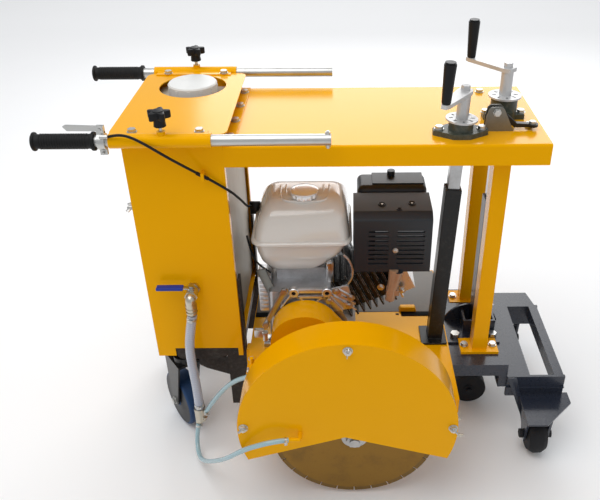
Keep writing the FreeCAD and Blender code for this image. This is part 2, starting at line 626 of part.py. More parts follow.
# Front of the chassis
def make_front_posts():
    solids = []
    low = "base_top"
    for y in ("post_near", "post_far"):
        tube = square_tube("post_x", y, (low, "table_top - table_sheet"), "post_wide", "post_wall")
        foot = box(("post_x - foot_long / 2", "post_x + foot_long / 2"),
                   (f"{y} - foot_wide / 2", f"{y} + foot_wide / 2"), (low, f"{low} + foot_thick"))
        head = box(("post_x - foot_long / 2", "post_x + foot_long / 2"),
                   (f"{y} - foot_wide / 2", f"{y} + foot_wide / 2"),
                   ("table_top - table_sheet - foot_thick", "table_top - table_sheet"))
        hollow = box(("post_x - post_wide / 2 + post_wall", "post_x + post_wide / 2 - post_wall"),
                     (f"{y} - post_wide / 2 + post_wall", f"{y} + post_wide / 2 - post_wall"),
                     (f"{low} - weld", "table_top"))
        tools = [hollow]
        tools += [bolt_hole(x, by, "base_top + foot_thick", "foot_thick") for x, by in FOOT_BOLTS if by == y]
        solids.append(cut(fuse(tube, foot, head), *tools))
    return node("front_posts", group(*solids))


def make_front_base():
    shell = tray(("base_rear", "base_front"), ("base_near", "base_far"), "base_top", "base_skirt",
                 "base_sheet")
    opening = box(("jack_2_x - jack_2_wide / 2 - 2", "jack_2_x + jack_2_wide / 2 + 2"),
                  ("jack_2_y - jack_2_wide / 2 - 2", "jack_2_y + jack_2_wide / 2 + 2"),
                  ("base_top - 2 * base_sheet", "base_top + weld"))
    holes = [bolt_hole(x, y, "base_top + foot_thick", "foot_thick + base_sheet") for x, y in FOOT_BOLTS]
    holes += [bolt_hole(x, y, "base_top + bracket_thick", "bracket_thick + base_sheet", "big_shank")
              for x, y in BRACKET_BOLTS]
    return node("front_base", cut(shell, opening, *holes))


def make_jack_bracket():
    foot = box(("bracket_rear", "bracket_front"), ("bracket_near", "post_far - foot_wide / 2 - gap"),
               ("base_top", "base_top + bracket_thick"))
    clear = box(("post_x - foot_long / 2 - gap", "post_x + foot_long / 2 + gap"),
                ("post_near - foot_wide / 2", "post_near + foot_wide / 2 + gap"), ("base_top", "table_top"))
    opening = box(("jack_2_x - jack_2_wide / 2 - 2", "jack_2_x + jack_2_wide / 2 + 2"),
                  ("jack_2_y - jack_2_wide / 2 - 2", "jack_2_y + jack_2_wide / 2 + 2"),
                  ("base_top - weld", "base_top + 2 * bracket_thick"))
    high = ("base_top", "base_top + upright_high")
    upright = box(("jack_2_x - 46", "jack_2_x + 42"), ("jack_2_y - 34", "jack_2_y - 28"), high)
    sides = [box((x, f"{x} + bracket_thick"), ("jack_2_y - 34", "ear_y + weld"), high)
             for x in ("jack_2_x - 46", "jack_2_x + 42 - bracket_thick")]
    disc = cylinder("ear_radius", "bracket_thick", "ear_x", "ear_y", "base_top - ear_drop", "y")
    keep = box(("ear_x - 2 * ear_radius", "ear_x + 2 * ear_radius"),
               ("ear_y - weld", "ear_y + 2 * foot_thick"),
               ("base_top", "base_top + 2 * ear_radius"))
    ear = common(disc, keep)
    holes = [bolt_hole(x, y, "base_top + bracket_thick", "bracket_thick", "big_shank")
             for x, y in BRACKET_BOLTS]
    return node("jack_bracket", cut(fuse(foot, upright, ear, *sides), clear, opening, *holes))


def make_guide_frame():
    bars = [tray((a, b), ("base_near + weld", "web_far + web_thick"), "guide_top", "bar_deep", "bar_sheet")
            for a, b in (("base_front - bar_lap", "bar_a_front"), ("bar_b_rear", "bar_b_front"))]
    webs = [box(("base_front", "hood_front - 15"), y, ("guide_top - web_drop", "guide_top"))
            for y in (("base_near - web_thick + 3", "base_near + 3"), ("web_far", "web_far + web_thick"))]
    rib = box(("base_front", "hood_front - 15"), ("base_near - web_thick - 2", "base_near"),
              ("guide_top - web_drop / 2 - 4", "guide_top - web_drop / 2"))
    near_out = "base_near - hood_near_out"
    hood = padded("XY_Plane", (("hood_rear", "base_near"), ("hood_front", "base_near"),
                               ("hood_front", f"{near_out} + hood_cut"), ("hood_end", near_out),
                               ("hood_rear", near_out)), "hood_thick")
    place(hood, "0", "0", "guide_top - web_drop")
    far_out = "web_far + hood_far_out"
    far_hood = padded("XY_Plane", (("hood_rear - 14", "web_far"), ("bar_b_front - 4", "web_far"),
                                   ("bar_b_front - 18", far_out), ("hood_rear - 14", far_out)), "hood_thick")
    place(far_hood, "0", "0", "guide_top - hood_thick")
    cheeks = []
    ends = (("roller_near", "guide_top - web_drop + weld", f"{near_out} + 28", "base_near"),
            ("roller_far", "guide_top - weld", "web_far + weld", f"{far_out} - 6"))
    for y, top, low_y, high_y in ends:
        for x in ("roller_x - roller_wide / 2 - cheek_gap - cheek_thick",
                  "roller_x + roller_wide / 2 + cheek_gap"):
            cheek = padded("YZ_Plane", ((low_y, top), (f"{y} - axle_end",
                                         "roller_radius + roller_lift - axle_end"),
                                        (f"{y} + axle_end", "roller_radius + roller_lift - axle_end"),
                                        (high_y, top)), "cheek_thick")
            cheeks.append(place(cheek, x))
    bores = [cylinder("axle_radius + gap", "4 * cheek_wide", "roller_x - 2 * cheek_wide", y,
                      "roller_radius + roller_lift", "x") for y in ("roller_near", "roller_far")]
    return node("guide_frame", cut(fuse(*bars, *webs, rib, hood, far_hood, *cheeks), *bores))


def make_guide_roller(label, y):
    half = "roller_wide / 2"
    body = revolved("XY_Plane",
                    ((f"-{half}", "axle_radius - weld"), (f"-{half}", "roller_radius - roller_crown"),
                                 ("-roller_wide / 5", "roller_radius"), ("roller_wide / 5", "roller_radius"),
                                 (half, "roller_radius - roller_crown"), (half, "axle_radius - weld")),
                    "H_Axis")
    long_half = "roller_wide / 2 + cheek_gap + cheek_thick + 4"
    axle = cylinder("axle_radius", f"2 * ({long_half})", f"-({long_half})", along="x")
    nuts = [hexagon("big_head", "big_head_high", x, along="x")
            for x in (f"{long_half} - 3", f"3 - ({long_half}) - big_head_high")]
    return node(label, fuse(body, axle, *nuts), "roller_x", y, "roller_radius + roller_lift")


def make_front_carriage():
    wide = "hanger_wide / 2"
    top = "beam_top"
    beam = box((f"carriage_x - {wide}", f"carriage_x + {wide} + 10"), ("wheel_near + wheel_wide / 2 + 3",
               "wheel_far - wheel_wide / 2 - 3"), (f"{top} - beam_thick_front - carriage_rise + 5",
               f"{top} - carriage_rise + 5"))
    sides = []
    for y in ("wheel_near + wheel_wide / 2 + 3", "wheel_far - wheel_wide / 2 - 3 - hanger_thick"):
        side = padded("XZ_Plane", ((f"-{wide}", f"{top} - carriage_rise + 5"), (f"{wide}",
                                    f"{top} - carriage_rise + 5"), ("16", "wheel_radius - 14"),
                                   ("-16", "wheel_radius - 14")), "hanger_thick")
        sides.append(place(side, "carriage_x", f"{y} + hanger_thick"))
    bore = cylinder("wheel_axle + gap", "4 * wheel_radius", "carriage_x", "-3 * wheel_radius", "wheel_radius",
                    "y")
    tube = square_tube("jack_2_x", "jack_2_y", (f"{top} - carriage_rise", "jack_2_top"), "jack_2_wide",
                       "jack_wall")
    nut = box(("jack_2_x - jack_2_wide / 2 + weld", "jack_2_x + jack_2_wide / 2 - weld"),
              ("jack_2_y - jack_2_wide / 2 + weld", "jack_2_y + jack_2_wide / 2 - weld"),
              ("nut_2_z", "nut_2_z + nut_long"))
    thread = cylinder("screw_radius + gap", "jack_2_top", "jack_2_x", "jack_2_y",
                      f"{top} - carriage_rise - 2 * wheel_radius + 60")
    return node("front_carriage", cut(fuse(beam, *sides, tube, nut), bore, thread))


def make_front_wheels():
    wheels = []
    for y in ("wheel_near", "wheel_far"):
        wheels.append(cylinder("wheel_radius", "wheel_wide", "0", f"{y} - wheel_wide / 2", "0", "y"))
        wheels.append(cylinder("wheel_axle + 8", "wheel_wide + 5", "0", f"{y} - wheel_wide / 2 - 2.5", "0",
                               "y"))
    axle = cylinder("wheel_axle", "wheel_far - wheel_near + wheel_wide + 20", "0",
                    "wheel_near - wheel_wide / 2 - 10", "0", "y")
    return node("front_wheels", fuse(axle, *wheels), "carriage_x", "0", "wheel_radius")


# Rear of the chassis
def mount_holes():
    """Clearance for the mounting bolts, which come up through the housing floor."""
    return [bolt_hole(x, y, "housing_floor - mount_thick", "mount_thick + housing_sheet", along="-z")
            for x, y in CASTER_BOLTS]


def make_rear_chassis():
    low = "housing_floor - beam_drop"
    solids = [box(("mount_rear", "mount_front"), ("-mount_half", "mount_half"),
                  ("housing_floor - mount_thick", "housing_floor"))]
    for side in (-1, 1):
        beam = padded("XZ_Plane", (("beam_rear", "housing_floor - weld"), ("beam_rear", low),
                                   ("beam_front - 70", low), ("beam_front", f"{low} + 22"),
                                   ("beam_front", "housing_floor - weld")), "mount_half - beam_in")
        edge = rounded(beam, VALUE["beam_round"], lambda e: runs_along(e, Y_AXIS)
                       and e.Vertexes[0].X < VALUE["beam_rear"] + 1
                       and e.Vertexes[0].Z < VALUE["housing_floor"] - 9)
        solids.append(place(group(edge), "0", "mount_half" if side > 0 else "-beam_in"))
    solids.append(box(("rail_heel", "mount_front"), ("rail_wide / 2 - rail_y", "rail_y - rail_wide / 2"),
                      ("cross_low", "housing_floor - weld")))
    for side in (-1, 1):
        near, far = f"{side} * rail_y - rail_wide / 2", f"{side} * rail_y + rail_wide / 2"
        drop = "(deck_top - rail_low)"
        solids.append(turned(box(("-rail_space - rail_deep", "-rail_space"), (near, far),
                                 (f"-{drop}", "-11")),
                             RAKE, "deck_rear", "0", "deck_top"))
        solids.append(box(("table_rear", "table_rear + mount_thick"), (near, far),
                          ("deck_top - 17", "rail_high")))
        solids.append(box(("rail_heel", "mount_front + weld"), (near, far),
                          ("rail_low + weld", "rail_heel_top")))
        solids.append(box(("rail_heel", "mount_front"), (near, far),
                          ("rail_low + weld", "housing_floor - weld")))
    holes = mount_holes()
    pivots = [cylinder("caster_axle + gap", "60", "caster_x", f"{side} * caster_y", "housing_floor - 55")
              for side in (-1, 1)]
    return node("rear_chassis", cut(fuse(*solids), *holes, *pivots))


def make_caster(end, side):
    """A swivel fork and its wheel, trailing away from the pivot."""
    top = "housing_floor - beam_drop"
    angle = VALUE[f"caster_{end}_turn"]
    turn = FreeCAD.Rotation(Z_AXIS, angle)
    drop = f"(caster_radius - ({top}))"
    outer = "(caster_wide / 2 + fork_gap + fork_thick)"
    head = cylinder("caster_head", "caster_head_deep - gap", z="-caster_head_deep")
    crown = box(("-caster_trail - 20", "caster_head"), (f"-{outer}", outer),
                ("-caster_head_deep - 6", "-caster_head_deep + weld"))
    spindle = cylinder("caster_axle", "24 + caster_head_deep", z="-caster_head_deep")
    legs = []
    for y in (f"-{outer} + fork_thick", outer):
        leg = padded("XZ_Plane", (("caster_head", "-caster_head_deep"),
                                  ("-caster_trail - 20", "-caster_head_deep"),
                                  ("-caster_trail - 18", f"{drop} - 4"),
                                  ("-caster_trail - 8", f"{drop} - 14"),
                                  ("-caster_trail + 8", f"{drop} - 14"),
                                  ("-caster_trail + 18", f"{drop} - 4")),
                     "fork_thick")
        legs.append(place(leg, "0", y))
    bore = cylinder("caster_axle + gap", "4 * caster_wide", "-caster_trail", "-2 * caster_wide", drop, "y")
    fork = cut(fuse(head, crown, spindle, *legs), bore)
    node(f"caster_fork_{end}", fork, "caster_x", f"{side} * caster_y", top, turn)
    tyre = cylinder("caster_radius", "caster_wide - 8", "0", "4 - caster_wide / 2", "0", "y")
    bevels = [cone("caster_radius - 5", "caster_radius", "4", "0", "-caster_wide / 2", "0", "y"),
              cone("caster_radius - 5", "caster_radius", "4", "0", "caster_wide / 2", "0", "-y")]
    hub = cylinder("20", "caster_wide + 2 * fork_gap - 2 * gap", "0", "gap - caster_wide / 2 - fork_gap",
                   "0", "y")
    axle = cylinder("caster_axle", f"2 * {outer} + 14", "0", f"-{outer} - 7", "0", "y")
    turn_text = f"caster_{end}_turn"
    node(f"caster_wheel_{end}", fuse(tyre, *bevels, hub, axle), f"caster_x - caster_trail * cos({turn_text})",
         f"{side} * caster_y - caster_trail * sin({turn_text})", "caster_radius", turn)


# Jacks, cranks and the lock
def raked(thing, z="table_top"):
    """Leans a shape along the first jack, about a point on the jack's axis."""
    return turned(thing, RAKE, f"jack_1_x + ({z} - jack_1_z) * tan(jack_rake)", "jack_1_y", z)


def make_inner_tubes():
    under = "table_top - table_sheet"
    tubes = []
    for number, low in (("1", "inner_low"), ("2", "inner_low_2")):
        wide = f"(jack_{number}_wide - 2 * jack_wall - jack_play)"
        if number == "1":
            tube = raked(square_tube("0", "0", (f"{low} - table_top", "20"), wide, "jack_inner_wall"))
        else:
            tube = square_tube("jack_2_x", "jack_2_y", (low, "table_top + 20"), wide, "jack_inner_wall")
        above = box(("table_rear", "table_front"), ("-table_half", "table_half"), (under, "table_top + 90"))
        tubes.append(cut(tube, above))
    return node("jack_inner_tubes", group(*tubes))


def make_outer_tube():
    tube = square_tube("0", "0", ("deck_top + 4 - jack_1_z", "jack_1_top - jack_1_z"), "jack_1_wide",
                       "jack_wall")
    half = "jack_1_wide / 2 - weld"
    nut = cut(box((f"-({half})", half), (f"-({half})", half), ("nut_drop", "nut_drop + nut_long")),
              cylinder("screw_radius + gap", "nut_long + 2 * weld", z="nut_drop - weld"))
    foot = box(("jack_1_x - jack_1_wide", "jack_1_x + jack_1_wide - 8"),
               ("jack_1_y - jack_1_wide", "jack_1_y + jack_1_wide"), ("deck_top", "deck_top + 6"))
    return node("jack_1_outer_tube", fuse(raked(tube, "jack_1_z"), raked(nut, "jack_1_z"), foot))


def make_castings():
    flange = padded("XY_Plane", (("-casting_reach - 14", "-8"), ("-casting_reach - 14", "8"), ("-18", "36"),
                                 ("18", "36"), ("casting_reach + 14", "8"), ("casting_reach + 14", "-8"),
                                 ("18", "-36"), ("-18", "-36")), "casting_flange")
    boss = raked(cylinder("casting_radius", "casting_high - disc_thick - 4", z="0"))
    keep = box(("table_rear", "table_front"), ("-table_half", "table_half"), ("table_top", "2 * table_top"))
    holes = [raked(cylinder("casting_bore", "4 * casting_high", z="-2 * casting_high"))]
    holes += [bolt_hole(x, y, "table_top + casting_flange", "casting_flange") for x, y in CASTING_BOLTS[:2]]
    first = cut(common(fuse(place(flange, SCREW_X, "jack_1_y", "table_top"), boss), keep), *holes)
    base = cylinder("casting_2_radius", "casting_2_high - disc_thick - 10", "jack_2_x", "jack_2_y",
                    "table_top")
    lug = box(("jack_2_x - casting_lug", "jack_2_x + casting_lug"),
              ("jack_2_y - casting_2_radius - 8", "jack_2_y"), ("table_top", "table_top + 26"))
    ears = box(("jack_2_x - casting_reach", "jack_2_x + casting_reach"), ("jack_2_y - 16", "jack_2_y + 16"),
               ("table_top", "table_top + casting_flange"))
    bore = cylinder("casting_bore", "4 * casting_high", "jack_2_x", "jack_2_y", "table_top - casting_high")
    holes = [bolt_hole(x, y, "table_top + casting_flange", "casting_flange") for x, y in CASTING_BOLTS[2:]]
    second = cut(fuse(base, lug, ears), bore, *holes)
    side_view = (("-lock_wide / 2", "0"), ("-lock_wide / 2", "lock_high - 24"),
                 ("-lock_wide / 2 + 5", "lock_high - 5"),
                 ("-lock_wide / 2 + 11", "lock_high"), ("lock_wide / 2 - 13", "lock_high"),
                 ("lock_wide / 2 - 6", "lock_high - 6"), ("lock_reach", "0"))
    cheeks = [place(padded("XZ_Plane", side_view, "lock_thick"), "lock_x", y, "table_top")
              for y in ("lock_y - lock_inside / 2", "lock_y + lock_inside / 2 + lock_thick")]
    base = box(("lock_x - lock_wide / 2", "lock_x + lock_wide / 2"),
               ("lock_y - lock_inside / 2 - lock_thick", "lock_y + lock_inside / 2 + lock_thick"),
               ("table_top", "table_top + lock_thick"))
    pin = cylinder("lock_pin + gap", "4 * lock_inside", "lock_x", "lock_y - 2 * lock_inside",
                   "table_top + lock_high - 12", "y")
    stand = cut(fuse(base, *cheeks), pin)
    return node("crank_castings", group(first, second, stand))


def make_lock_pawl():
    half = "(lock_inside / 2 - gap)"
    hub = cylinder("9", f"2 * {half}", "0", f"-{half}", "0", "y")
    pin = cylinder("lock_pin", "lock_inside + 2 * lock_thick + 8", "0", "-lock_inside / 2 - lock_thick - 4",
                   "0",
                   "y")
    arm = padded("XZ_Plane", (("-6", "-9"), ("-6", "9"), ("10", "7"), ("lock_arm - 30", "-28"),
                              ("lock_arm", "-30"), ("lock_arm", "-38"), ("lock_arm - 34", "-38"),
                              ("4", "-9")),
                 f"2 * {half}")
    ring = cut(cylinder("13", "6", "lock_arm + 8", "0", "-37", "z"),
               cylinder("7", "8", "lock_arm + 8", "0", "-38", "z"))
    return node("lock_pawl", fuse(hub, pin, place(arm, "0", half), ring), "lock_x", "lock_y",
                "table_top + lock_high - 12")


def crank_solid(number, seat, screw_low):
    """The disc, column, arm and screw of one crank, about its own axis from the table's top."""
    disc = cylinder("disc_radius" if number == "1" else "disc_2_radius", "disc_thick", z=f"{seat} + gap")
    slots = [turned(box(("disc_radius - 16", "disc_radius - 7"), ("-2.5", "2.5"),
                        (f"{seat} - weld", f"{seat} + 2 * disc_thick")), FreeCAD.Rotation(Z_AXIS, 45 * n))
             for n in range(8)]
    top = f"{seat} + disc_thick + column_high"
    column = cylinder("column_radius", "column_high", z=f"{seat} + disc_thick")
    cap = hexagon("9", "12", z=f"{top} + arm_thick - weld")
    arm = padded("XY_Plane", (("-15", "-13"), ("-15", "13"), ("0", "17"), ("arm_long", "arm_wide / 2"),
                              ("arm_long + 11", "6"), ("arm_long + 11", "-6"), ("arm_long", "-arm_wide / 2"),
                              ("0", "-17")), "arm_thick")
    swing = FreeCAD.Rotation(Z_AXIS, VALUE[f"arm_{number}_turn"])
    bar = turned(arm, swing, z=top)
    spindle = turned(cylinder("spindle_radius", "crank_grip_long + 3 * weld", "arm_long", "0", "0"), swing,
                     z=f"{top} + arm_thick - weld")
    cap_2 = turned(cylinder("crank_grip_high - 2", "3", "arm_long", "0", "crank_grip_long + 2 * gap"), swing,
                   z=f"{top} + arm_thick")
    screw = cylinder("screw_radius", f"table_top + {seat} + weld - {screw_low} + disc_thick",
                     z=f"{screw_low} - table_top")
    return fuse(cut(disc, *slots), column, cap, bar, spindle, cap_2, screw)


def make_cranks():
    seats = {"1": "(casting_high - disc_thick - 4)", "2": "(casting_2_high - disc_thick - 10)"}
    lows = {"1": "screw_low", "2": "screw_low_2"}
    for number in ("1", "2"):
        x = SCREW_X if number == "1" else "jack_2_x"
        turn = RAKE if number == "1" else FreeCAD.Rotation()
        node(f"crank_{number}", group(crank_solid(number, seats[number], lows[number])), x,
             f"jack_{number}_y", "table_top", turn)
        top = f"{seats[number]} + disc_thick + column_high + arm_thick"
        grip = cut(cone("crank_grip_low", "crank_grip_high", "crank_grip_long"),
                   cylinder("spindle_radius + gap", "crank_grip_long + 2 * weld", z="-weld"))
        swing = FreeCAD.Rotation(Z_AXIS, VALUE[f"arm_{number}_turn"])
        placed = turned(place(grip, "arm_long", "0", "gap"), swing, z=top)
        node(f"crank_{number}_grip", group(placed), x, f"jack_{number}_y", "table_top", turn)


# The deck and what it carries
def make_deck():
    shell = tray(("deck_rear", "deck_front"), ("deck_near", "deck_far"), "deck_top", "deck_skirt",
                 "deck_sheet")
    well = box(("well_rear", "well_front"),
               ("pulley_y - pulley_wide / 2 - 5", "pulley_y + pulley_wide / 2 + 5"),
               ("deck_top - 2 * deck_sheet", "deck_top + weld"))
    lug = box(("deck_front - deck_sheet", "deck_front"), ("-190", "-110"), ("195", "deck_top - weld"))
    housing = cylinder("bearing_radius", "bearing_far - bearing_near", "blade_x", "bearing_near", "blade_z",
                       "y")
    saddle = box(("blade_x - bearing_radius", "blade_x + bearing_radius"), ("bearing_near", "bearing_far"),
                 ("blade_z", "deck_top - weld"))
    shoes = [turned(box(("gap - rail_space", "deck_sheet / 2"),
                        (f"{side} * rail_y - rail_wide / 2", f"{side} * rail_y + rail_wide / 2"),
                        ("-deck_skirt", "-2")), RAKE, "deck_rear", "0", "deck_top") for side in (-1, 1)]
    bore = cylinder("shaft_radius + gap", "deck_far - deck_near", "blade_x", "deck_near", "blade_z", "y")
    slots = [box((x, f"{x} + 34"), (y, f"{y} + 12"), ("deck_top - 2 * deck_sheet", "deck_top + weld"))
             for x, y in (("150", "-300"), ("52", "-300"))]
    holes = [bolt_hole(x, y, "deck_top", "deck_sheet") for x, y in DECK_BOLTS]
    return node("deck", cut(fuse(shell, lug, saddle, housing, *shoes), well, bore, *slots, *holes))


def make_crankcase():
    body = rounded(box(("case_rear", "case_front"), ("case_near", "case_far"), ("deck_top", "case_top")), 14,
                   lambda e: (runs_along(e, Y_AXIS) and e.Vertexes[0].Z > VALUE["case_top"] - 1)
                   or runs_along(e, Z_AXIS))
    feet = [box(("case_rear - 20", "case_front + 20"), y, ("deck_top", "deck_top + 12"))
            for y in (("case_near + 12", "case_near + 52"), ("case_far - 52", "case_far - 12"))]
    neck = box(("case_rear + 20", "case_front - 76"), ("case_near + 60", "case_far - 30"),
               ("case_top - 2", "fuel_low"))
    cover = cylinder("74", "9", "shaft_x", "case_near - 9", "shaft_z", "y")
    bosses = [cylinder("7", "14", f"shaft_x + 64 * cos({a})", "case_near - 14", f"shaft_z + 64 * sin({a})",
                       "y")
              for a in (20, 75, 130, 185, 300, 345)]
    front = turned(box(("cylinder_start", "4 * cylinder_start"), ("-400", "400"), ("-300", "300")),
                   LEAN, "shaft_x", "0", "shaft_z")
    keep = box(("case_rear - 60", "case_front + 60"), ("-400", "400"), ("deck_top + 12", "2 * case_top"))
    bore = cylinder("crankshaft_radius + gap", "60", "shaft_x", "case_near - 20", "shaft_z", "y")
    low = box(("case_rear - 60", "case_front + 60"), ("-400", "400"), ("0", "deck_top"))
    holes = [bolt_hole(x, y, "deck_top + 12", "12") for x, y in DECK_BOLTS[:4]]
    room = box(("case_rear + case_wall", "shaft_x + 50"), ("case_near + case_wall", "case_far - case_wall"),
               ("deck_top + case_wall", "case_top - case_wall"))
    solid = fuse(body, *feet, neck, cover, *bosses)
    return node("crankcase", cut(solid, common(front, keep), bore, low, room, *holes))


def make_cylinder():
    end = "cylinder_start + cylinder_long"
    y = ("cylinder_y - cylinder_deep / 2", "cylinder_y + cylinder_deep / 2")
    core = box(("cylinder_start", end), (f"{y[0]} + fin_deep", f"{y[1]} - fin_deep"),
               ("fin_deep - cylinder_half", "cylinder_half - fin_deep"))
    step = "(cylinder_long - fin_thick) / (fin_count - 1)"
    fins = [box((f"cylinder_start + {n} * {step}", f"cylinder_start + {n} * {step} + fin_thick"), y,
                ("-cylinder_half", "cylinder_half")) for n in range(int(VALUE["fin_count"]))]
    rocker = box((end, f"{end} + rocker_long"), y, ("-rocker_half", "rocker_half"))
    lean = turned(fuse(core, *fins, rocker), LEAN, "shaft_x", "0", "shaft_z")
    intake = box(("70", "120"), (f"{y[1]} - fin_deep - 2", f"{y[1]} + 50"), ("400", "cleaner_low"))
    return node("engine_cylinder", fuse(lean, intake))


def make_muffler():
    profile = (("muffler_near", "muffler_low"), ("muffler_far", "muffler_low"),
               ("muffler_far", "muffler_high"),
               ("muffler_near + 20", "muffler_high - 4"), ("muffler_near", "muffler_high - muffler_slope"))
    outer = rounded(padded("YZ_Plane", profile, "muffler_front - muffler_rear"), 5,
                    lambda e: runs_along(e, X_AXIS) and e.Vertexes[0].Z > VALUE["muffler_low"] + 1)
    cover = place(group(outer), "muffler_rear")
    inner = box(("muffler_rear + muffler_sheet", "muffler_front - muffler_sheet"),
                ("muffler_near + muffler_sheet", "muffler_far - muffler_sheet"),
                ("muffler_seat + muffler_sheet", "muffler_high - muffler_slope - muffler_sheet"))
    slots = []
    for row in range(8):
        for x0, x1 in (("70", "118"), ("140", "206")):
            slots.append(box((x0, x1), ("muffler_near - weld", "muffler_near + muffler_sheet + weld"),
                             (f"muffler_low + 22 + {row} * 13", f"muffler_low + 27 + {row} * 13")))
    silencer = box(("muffler_rear + 16", "muffler_front - 16"),
                   ("muffler_near + 16", "muffler_far - muffler_sheet"),
                   ("muffler_seat + weld", "muffler_high - muffler_slope - 16"))
    chamber = box(("muffler_rear + 18", "muffler_front - 18"),
                  ("muffler_near + 18", "muffler_far - muffler_sheet - 2"),
                  ("muffler_seat + muffler_sheet", "muffler_high - muffler_slope - 18"))
    under = box(("muffler_rear - weld", "muffler_front + weld"),
                ("cylinder_y - cylinder_deep / 2 - 1", "muffler_far + weld"),
                ("muffler_low - weld", "muffler_seat"))
    pipe = cylinder("12", "60", "exhaust_x", "cylinder_y - cylinder_deep / 2 - 14", "muffler_low - 59")
    flange = box(("exhaust_x - 16", "exhaust_x + 16"), ("cylinder_y - cylinder_deep / 2 - 26",
                 "cylinder_y - cylinder_deep / 2"), ("muffler_low - 66", "muffler_low - 52"))
    return node("muffler_cover", cut(fuse(cut(cover, inner, under, *slots), silencer, pipe, flange),
                                     chamber))


def make_air_cleaner():
    body = rounded(box(("cleaner_rear", "cleaner_front"), ("cleaner_near", "cleaner_far"),
                       ("cleaner_low", "cleaner_high")), VALUE["cleaner_round"],
                   lambda e: runs_along(e, Z_AXIS) or e.Vertexes[0].Z > VALUE["cleaner_high"] - 1)
    plate = box(("cleaner_rear + 38", "cleaner_front - 8"), ("cleaner_near + 18", "cleaner_far - 8"),
                ("cleaner_high - weld", "cleaner_high + 3"))
    x = "(cleaner_rear + cleaner_front) / 2"
    knob = cylinder("10", "16", x, "cleaner_far - 20", "cleaner_high - weld")
    return node("air_cleaner", fuse(body, plate, knob))


def fuel_block(t):
    """The tank above its seam, set in by t on every face."""
    long = ((f"fuel_rear + {t}", "fuel_seam"), (f"fuel_rear + fuel_in + {t}", "(fuel_seam + fuel_high) / 2"),
            (f"fuel_rear + fuel_flat_rear + {t}", f"fuel_high - {t}"),
            (f"fuel_front - fuel_flat_front - {t}", f"fuel_high - {t}"),
            (f"fuel_front - fuel_in - {t}", "(fuel_seam + fuel_high) / 2"),
            (f"fuel_front - {t}", "fuel_seam"))
    across = ((f"fuel_near + {t}", "fuel_seam"),
              (f"fuel_near + fuel_in + {t}", "(fuel_seam + fuel_high) / 2"),
              (f"fuel_flat_near + {t}", f"fuel_high - {t}"), (f"fuel_flat_far - {t}", f"fuel_high - {t}"),
              (f"fuel_far - fuel_in - {t}", "fuel_high - fuel_slope"), (f"fuel_far - {t}", "fuel_seam"))
    return common(place(padded("XZ_Plane", long, "4 * fuel_high"), "0", "2 * fuel_high"),
                  place(padded("YZ_Plane", across, "4 * fuel_high"), "-2 * fuel_high"))


def make_fuel_tank():
    wall = "fuel_wall"
    upper = rounded(fuel_block("0"), VALUE["fuel_round"], lambda e: e.Vertexes[0].Z > VALUE["fuel_seam"] + 1
                    or e.Vertexes[-1].Z > VALUE["fuel_seam"] + 1)
    lower = rounded(box(("fuel_rear + fuel_in", "fuel_front - fuel_in"), ("fuel_near + fuel_in",
                        "fuel_far - fuel_in"), ("fuel_low", "fuel_seam")), VALUE["fuel_round"],
                    lambda e: runs_along(e, Z_AXIS) or e.Vertexes[0].Z < VALUE["fuel_low"] + 1)
    seam = rounded(box(("fuel_rear - seam_out", "fuel_front + seam_out"), ("fuel_near - seam_out",
                       "fuel_far + seam_out"), ("fuel_seam - seam_thick / 2", "fuel_seam + seam_thick / 2")),
                   VALUE["fuel_round"], lambda e: runs_along(e, Z_AXIS))
    room = box((f"fuel_rear + fuel_in + 2 * {wall}", f"fuel_front - fuel_in - 2 * {wall}"),
               (f"fuel_near + fuel_in + 2 * {wall}", f"fuel_far - fuel_in - 2 * {wall}"),
               (f"fuel_low + 2 * {wall}", "fuel_seam + weld"))
    clip = box(("fuel_rear - 22", "fuel_rear - 5"), ("10", "18"), ("fuel_seam - 4", "fuel_seam + 32"))
    neck = cylinder("fuel_cap_radius - 9", "14", "fuel_cap_x", "fuel_cap_y", "fuel_high - weld")
    return node("fuel_tank", cut(fuse(upper, lower, neck, clip, seam), fuel_block(f"2 * {wall}"), room))


def make_fuel_cap():
    low = "4 - fuel_cap_high"
    cup = revolved("XZ_Plane", (("0", "gap"), ("fuel_cap_radius - 9 + gap", "gap"),
                                ("fuel_cap_radius - 9 + gap", "-12"), ("fuel_cap_radius", "-12"),
                                ("fuel_cap_radius", "4"), ("fuel_cap_radius - 4", "8"), ("0", "8")))
    return node("fuel_cap", group(cup), "fuel_cap_x", "fuel_cap_y", "fuel_high + 13")


def make_starter():
    drum = cylinder("starter_radius", "starter_deep", "shaft_x", "case_far", "shaft_z", "y")
    cap = cone("starter_bore", "starter_bore - 20", "starter_cap", "shaft_x", "case_far + starter_deep",
               "shaft_z",
               "y")
    slots = [turned(box(("34", "70"), ("-4", "4"), ("0", "starter_cap")),
                    FreeCAD.Rotation(FreeCAD.Vector(1, 0, 0), -90) * FreeCAD.Rotation(Z_AXIS, 30 * n),
                    "shaft_x", "case_far + starter_deep + 8", "shaft_z") for n in range(12)]
    low = box(("shaft_x - 200", "shaft_x + 200"), ("case_far - weld", "case_far + 200"), ("0", "deck_top"))
    room = cylinder("starter_radius - 4", "starter_deep - 6", "shaft_x", "case_far + 3", "shaft_z", "y")
    floor = box(("shaft_x - 200", "shaft_x + 200"), ("case_far - weld", "case_far + 200"),
                ("0", "deck_top + 4"))
    return node("starter_housing", cut(fuse(drum, cap), *slots, low, cut(room, floor)))


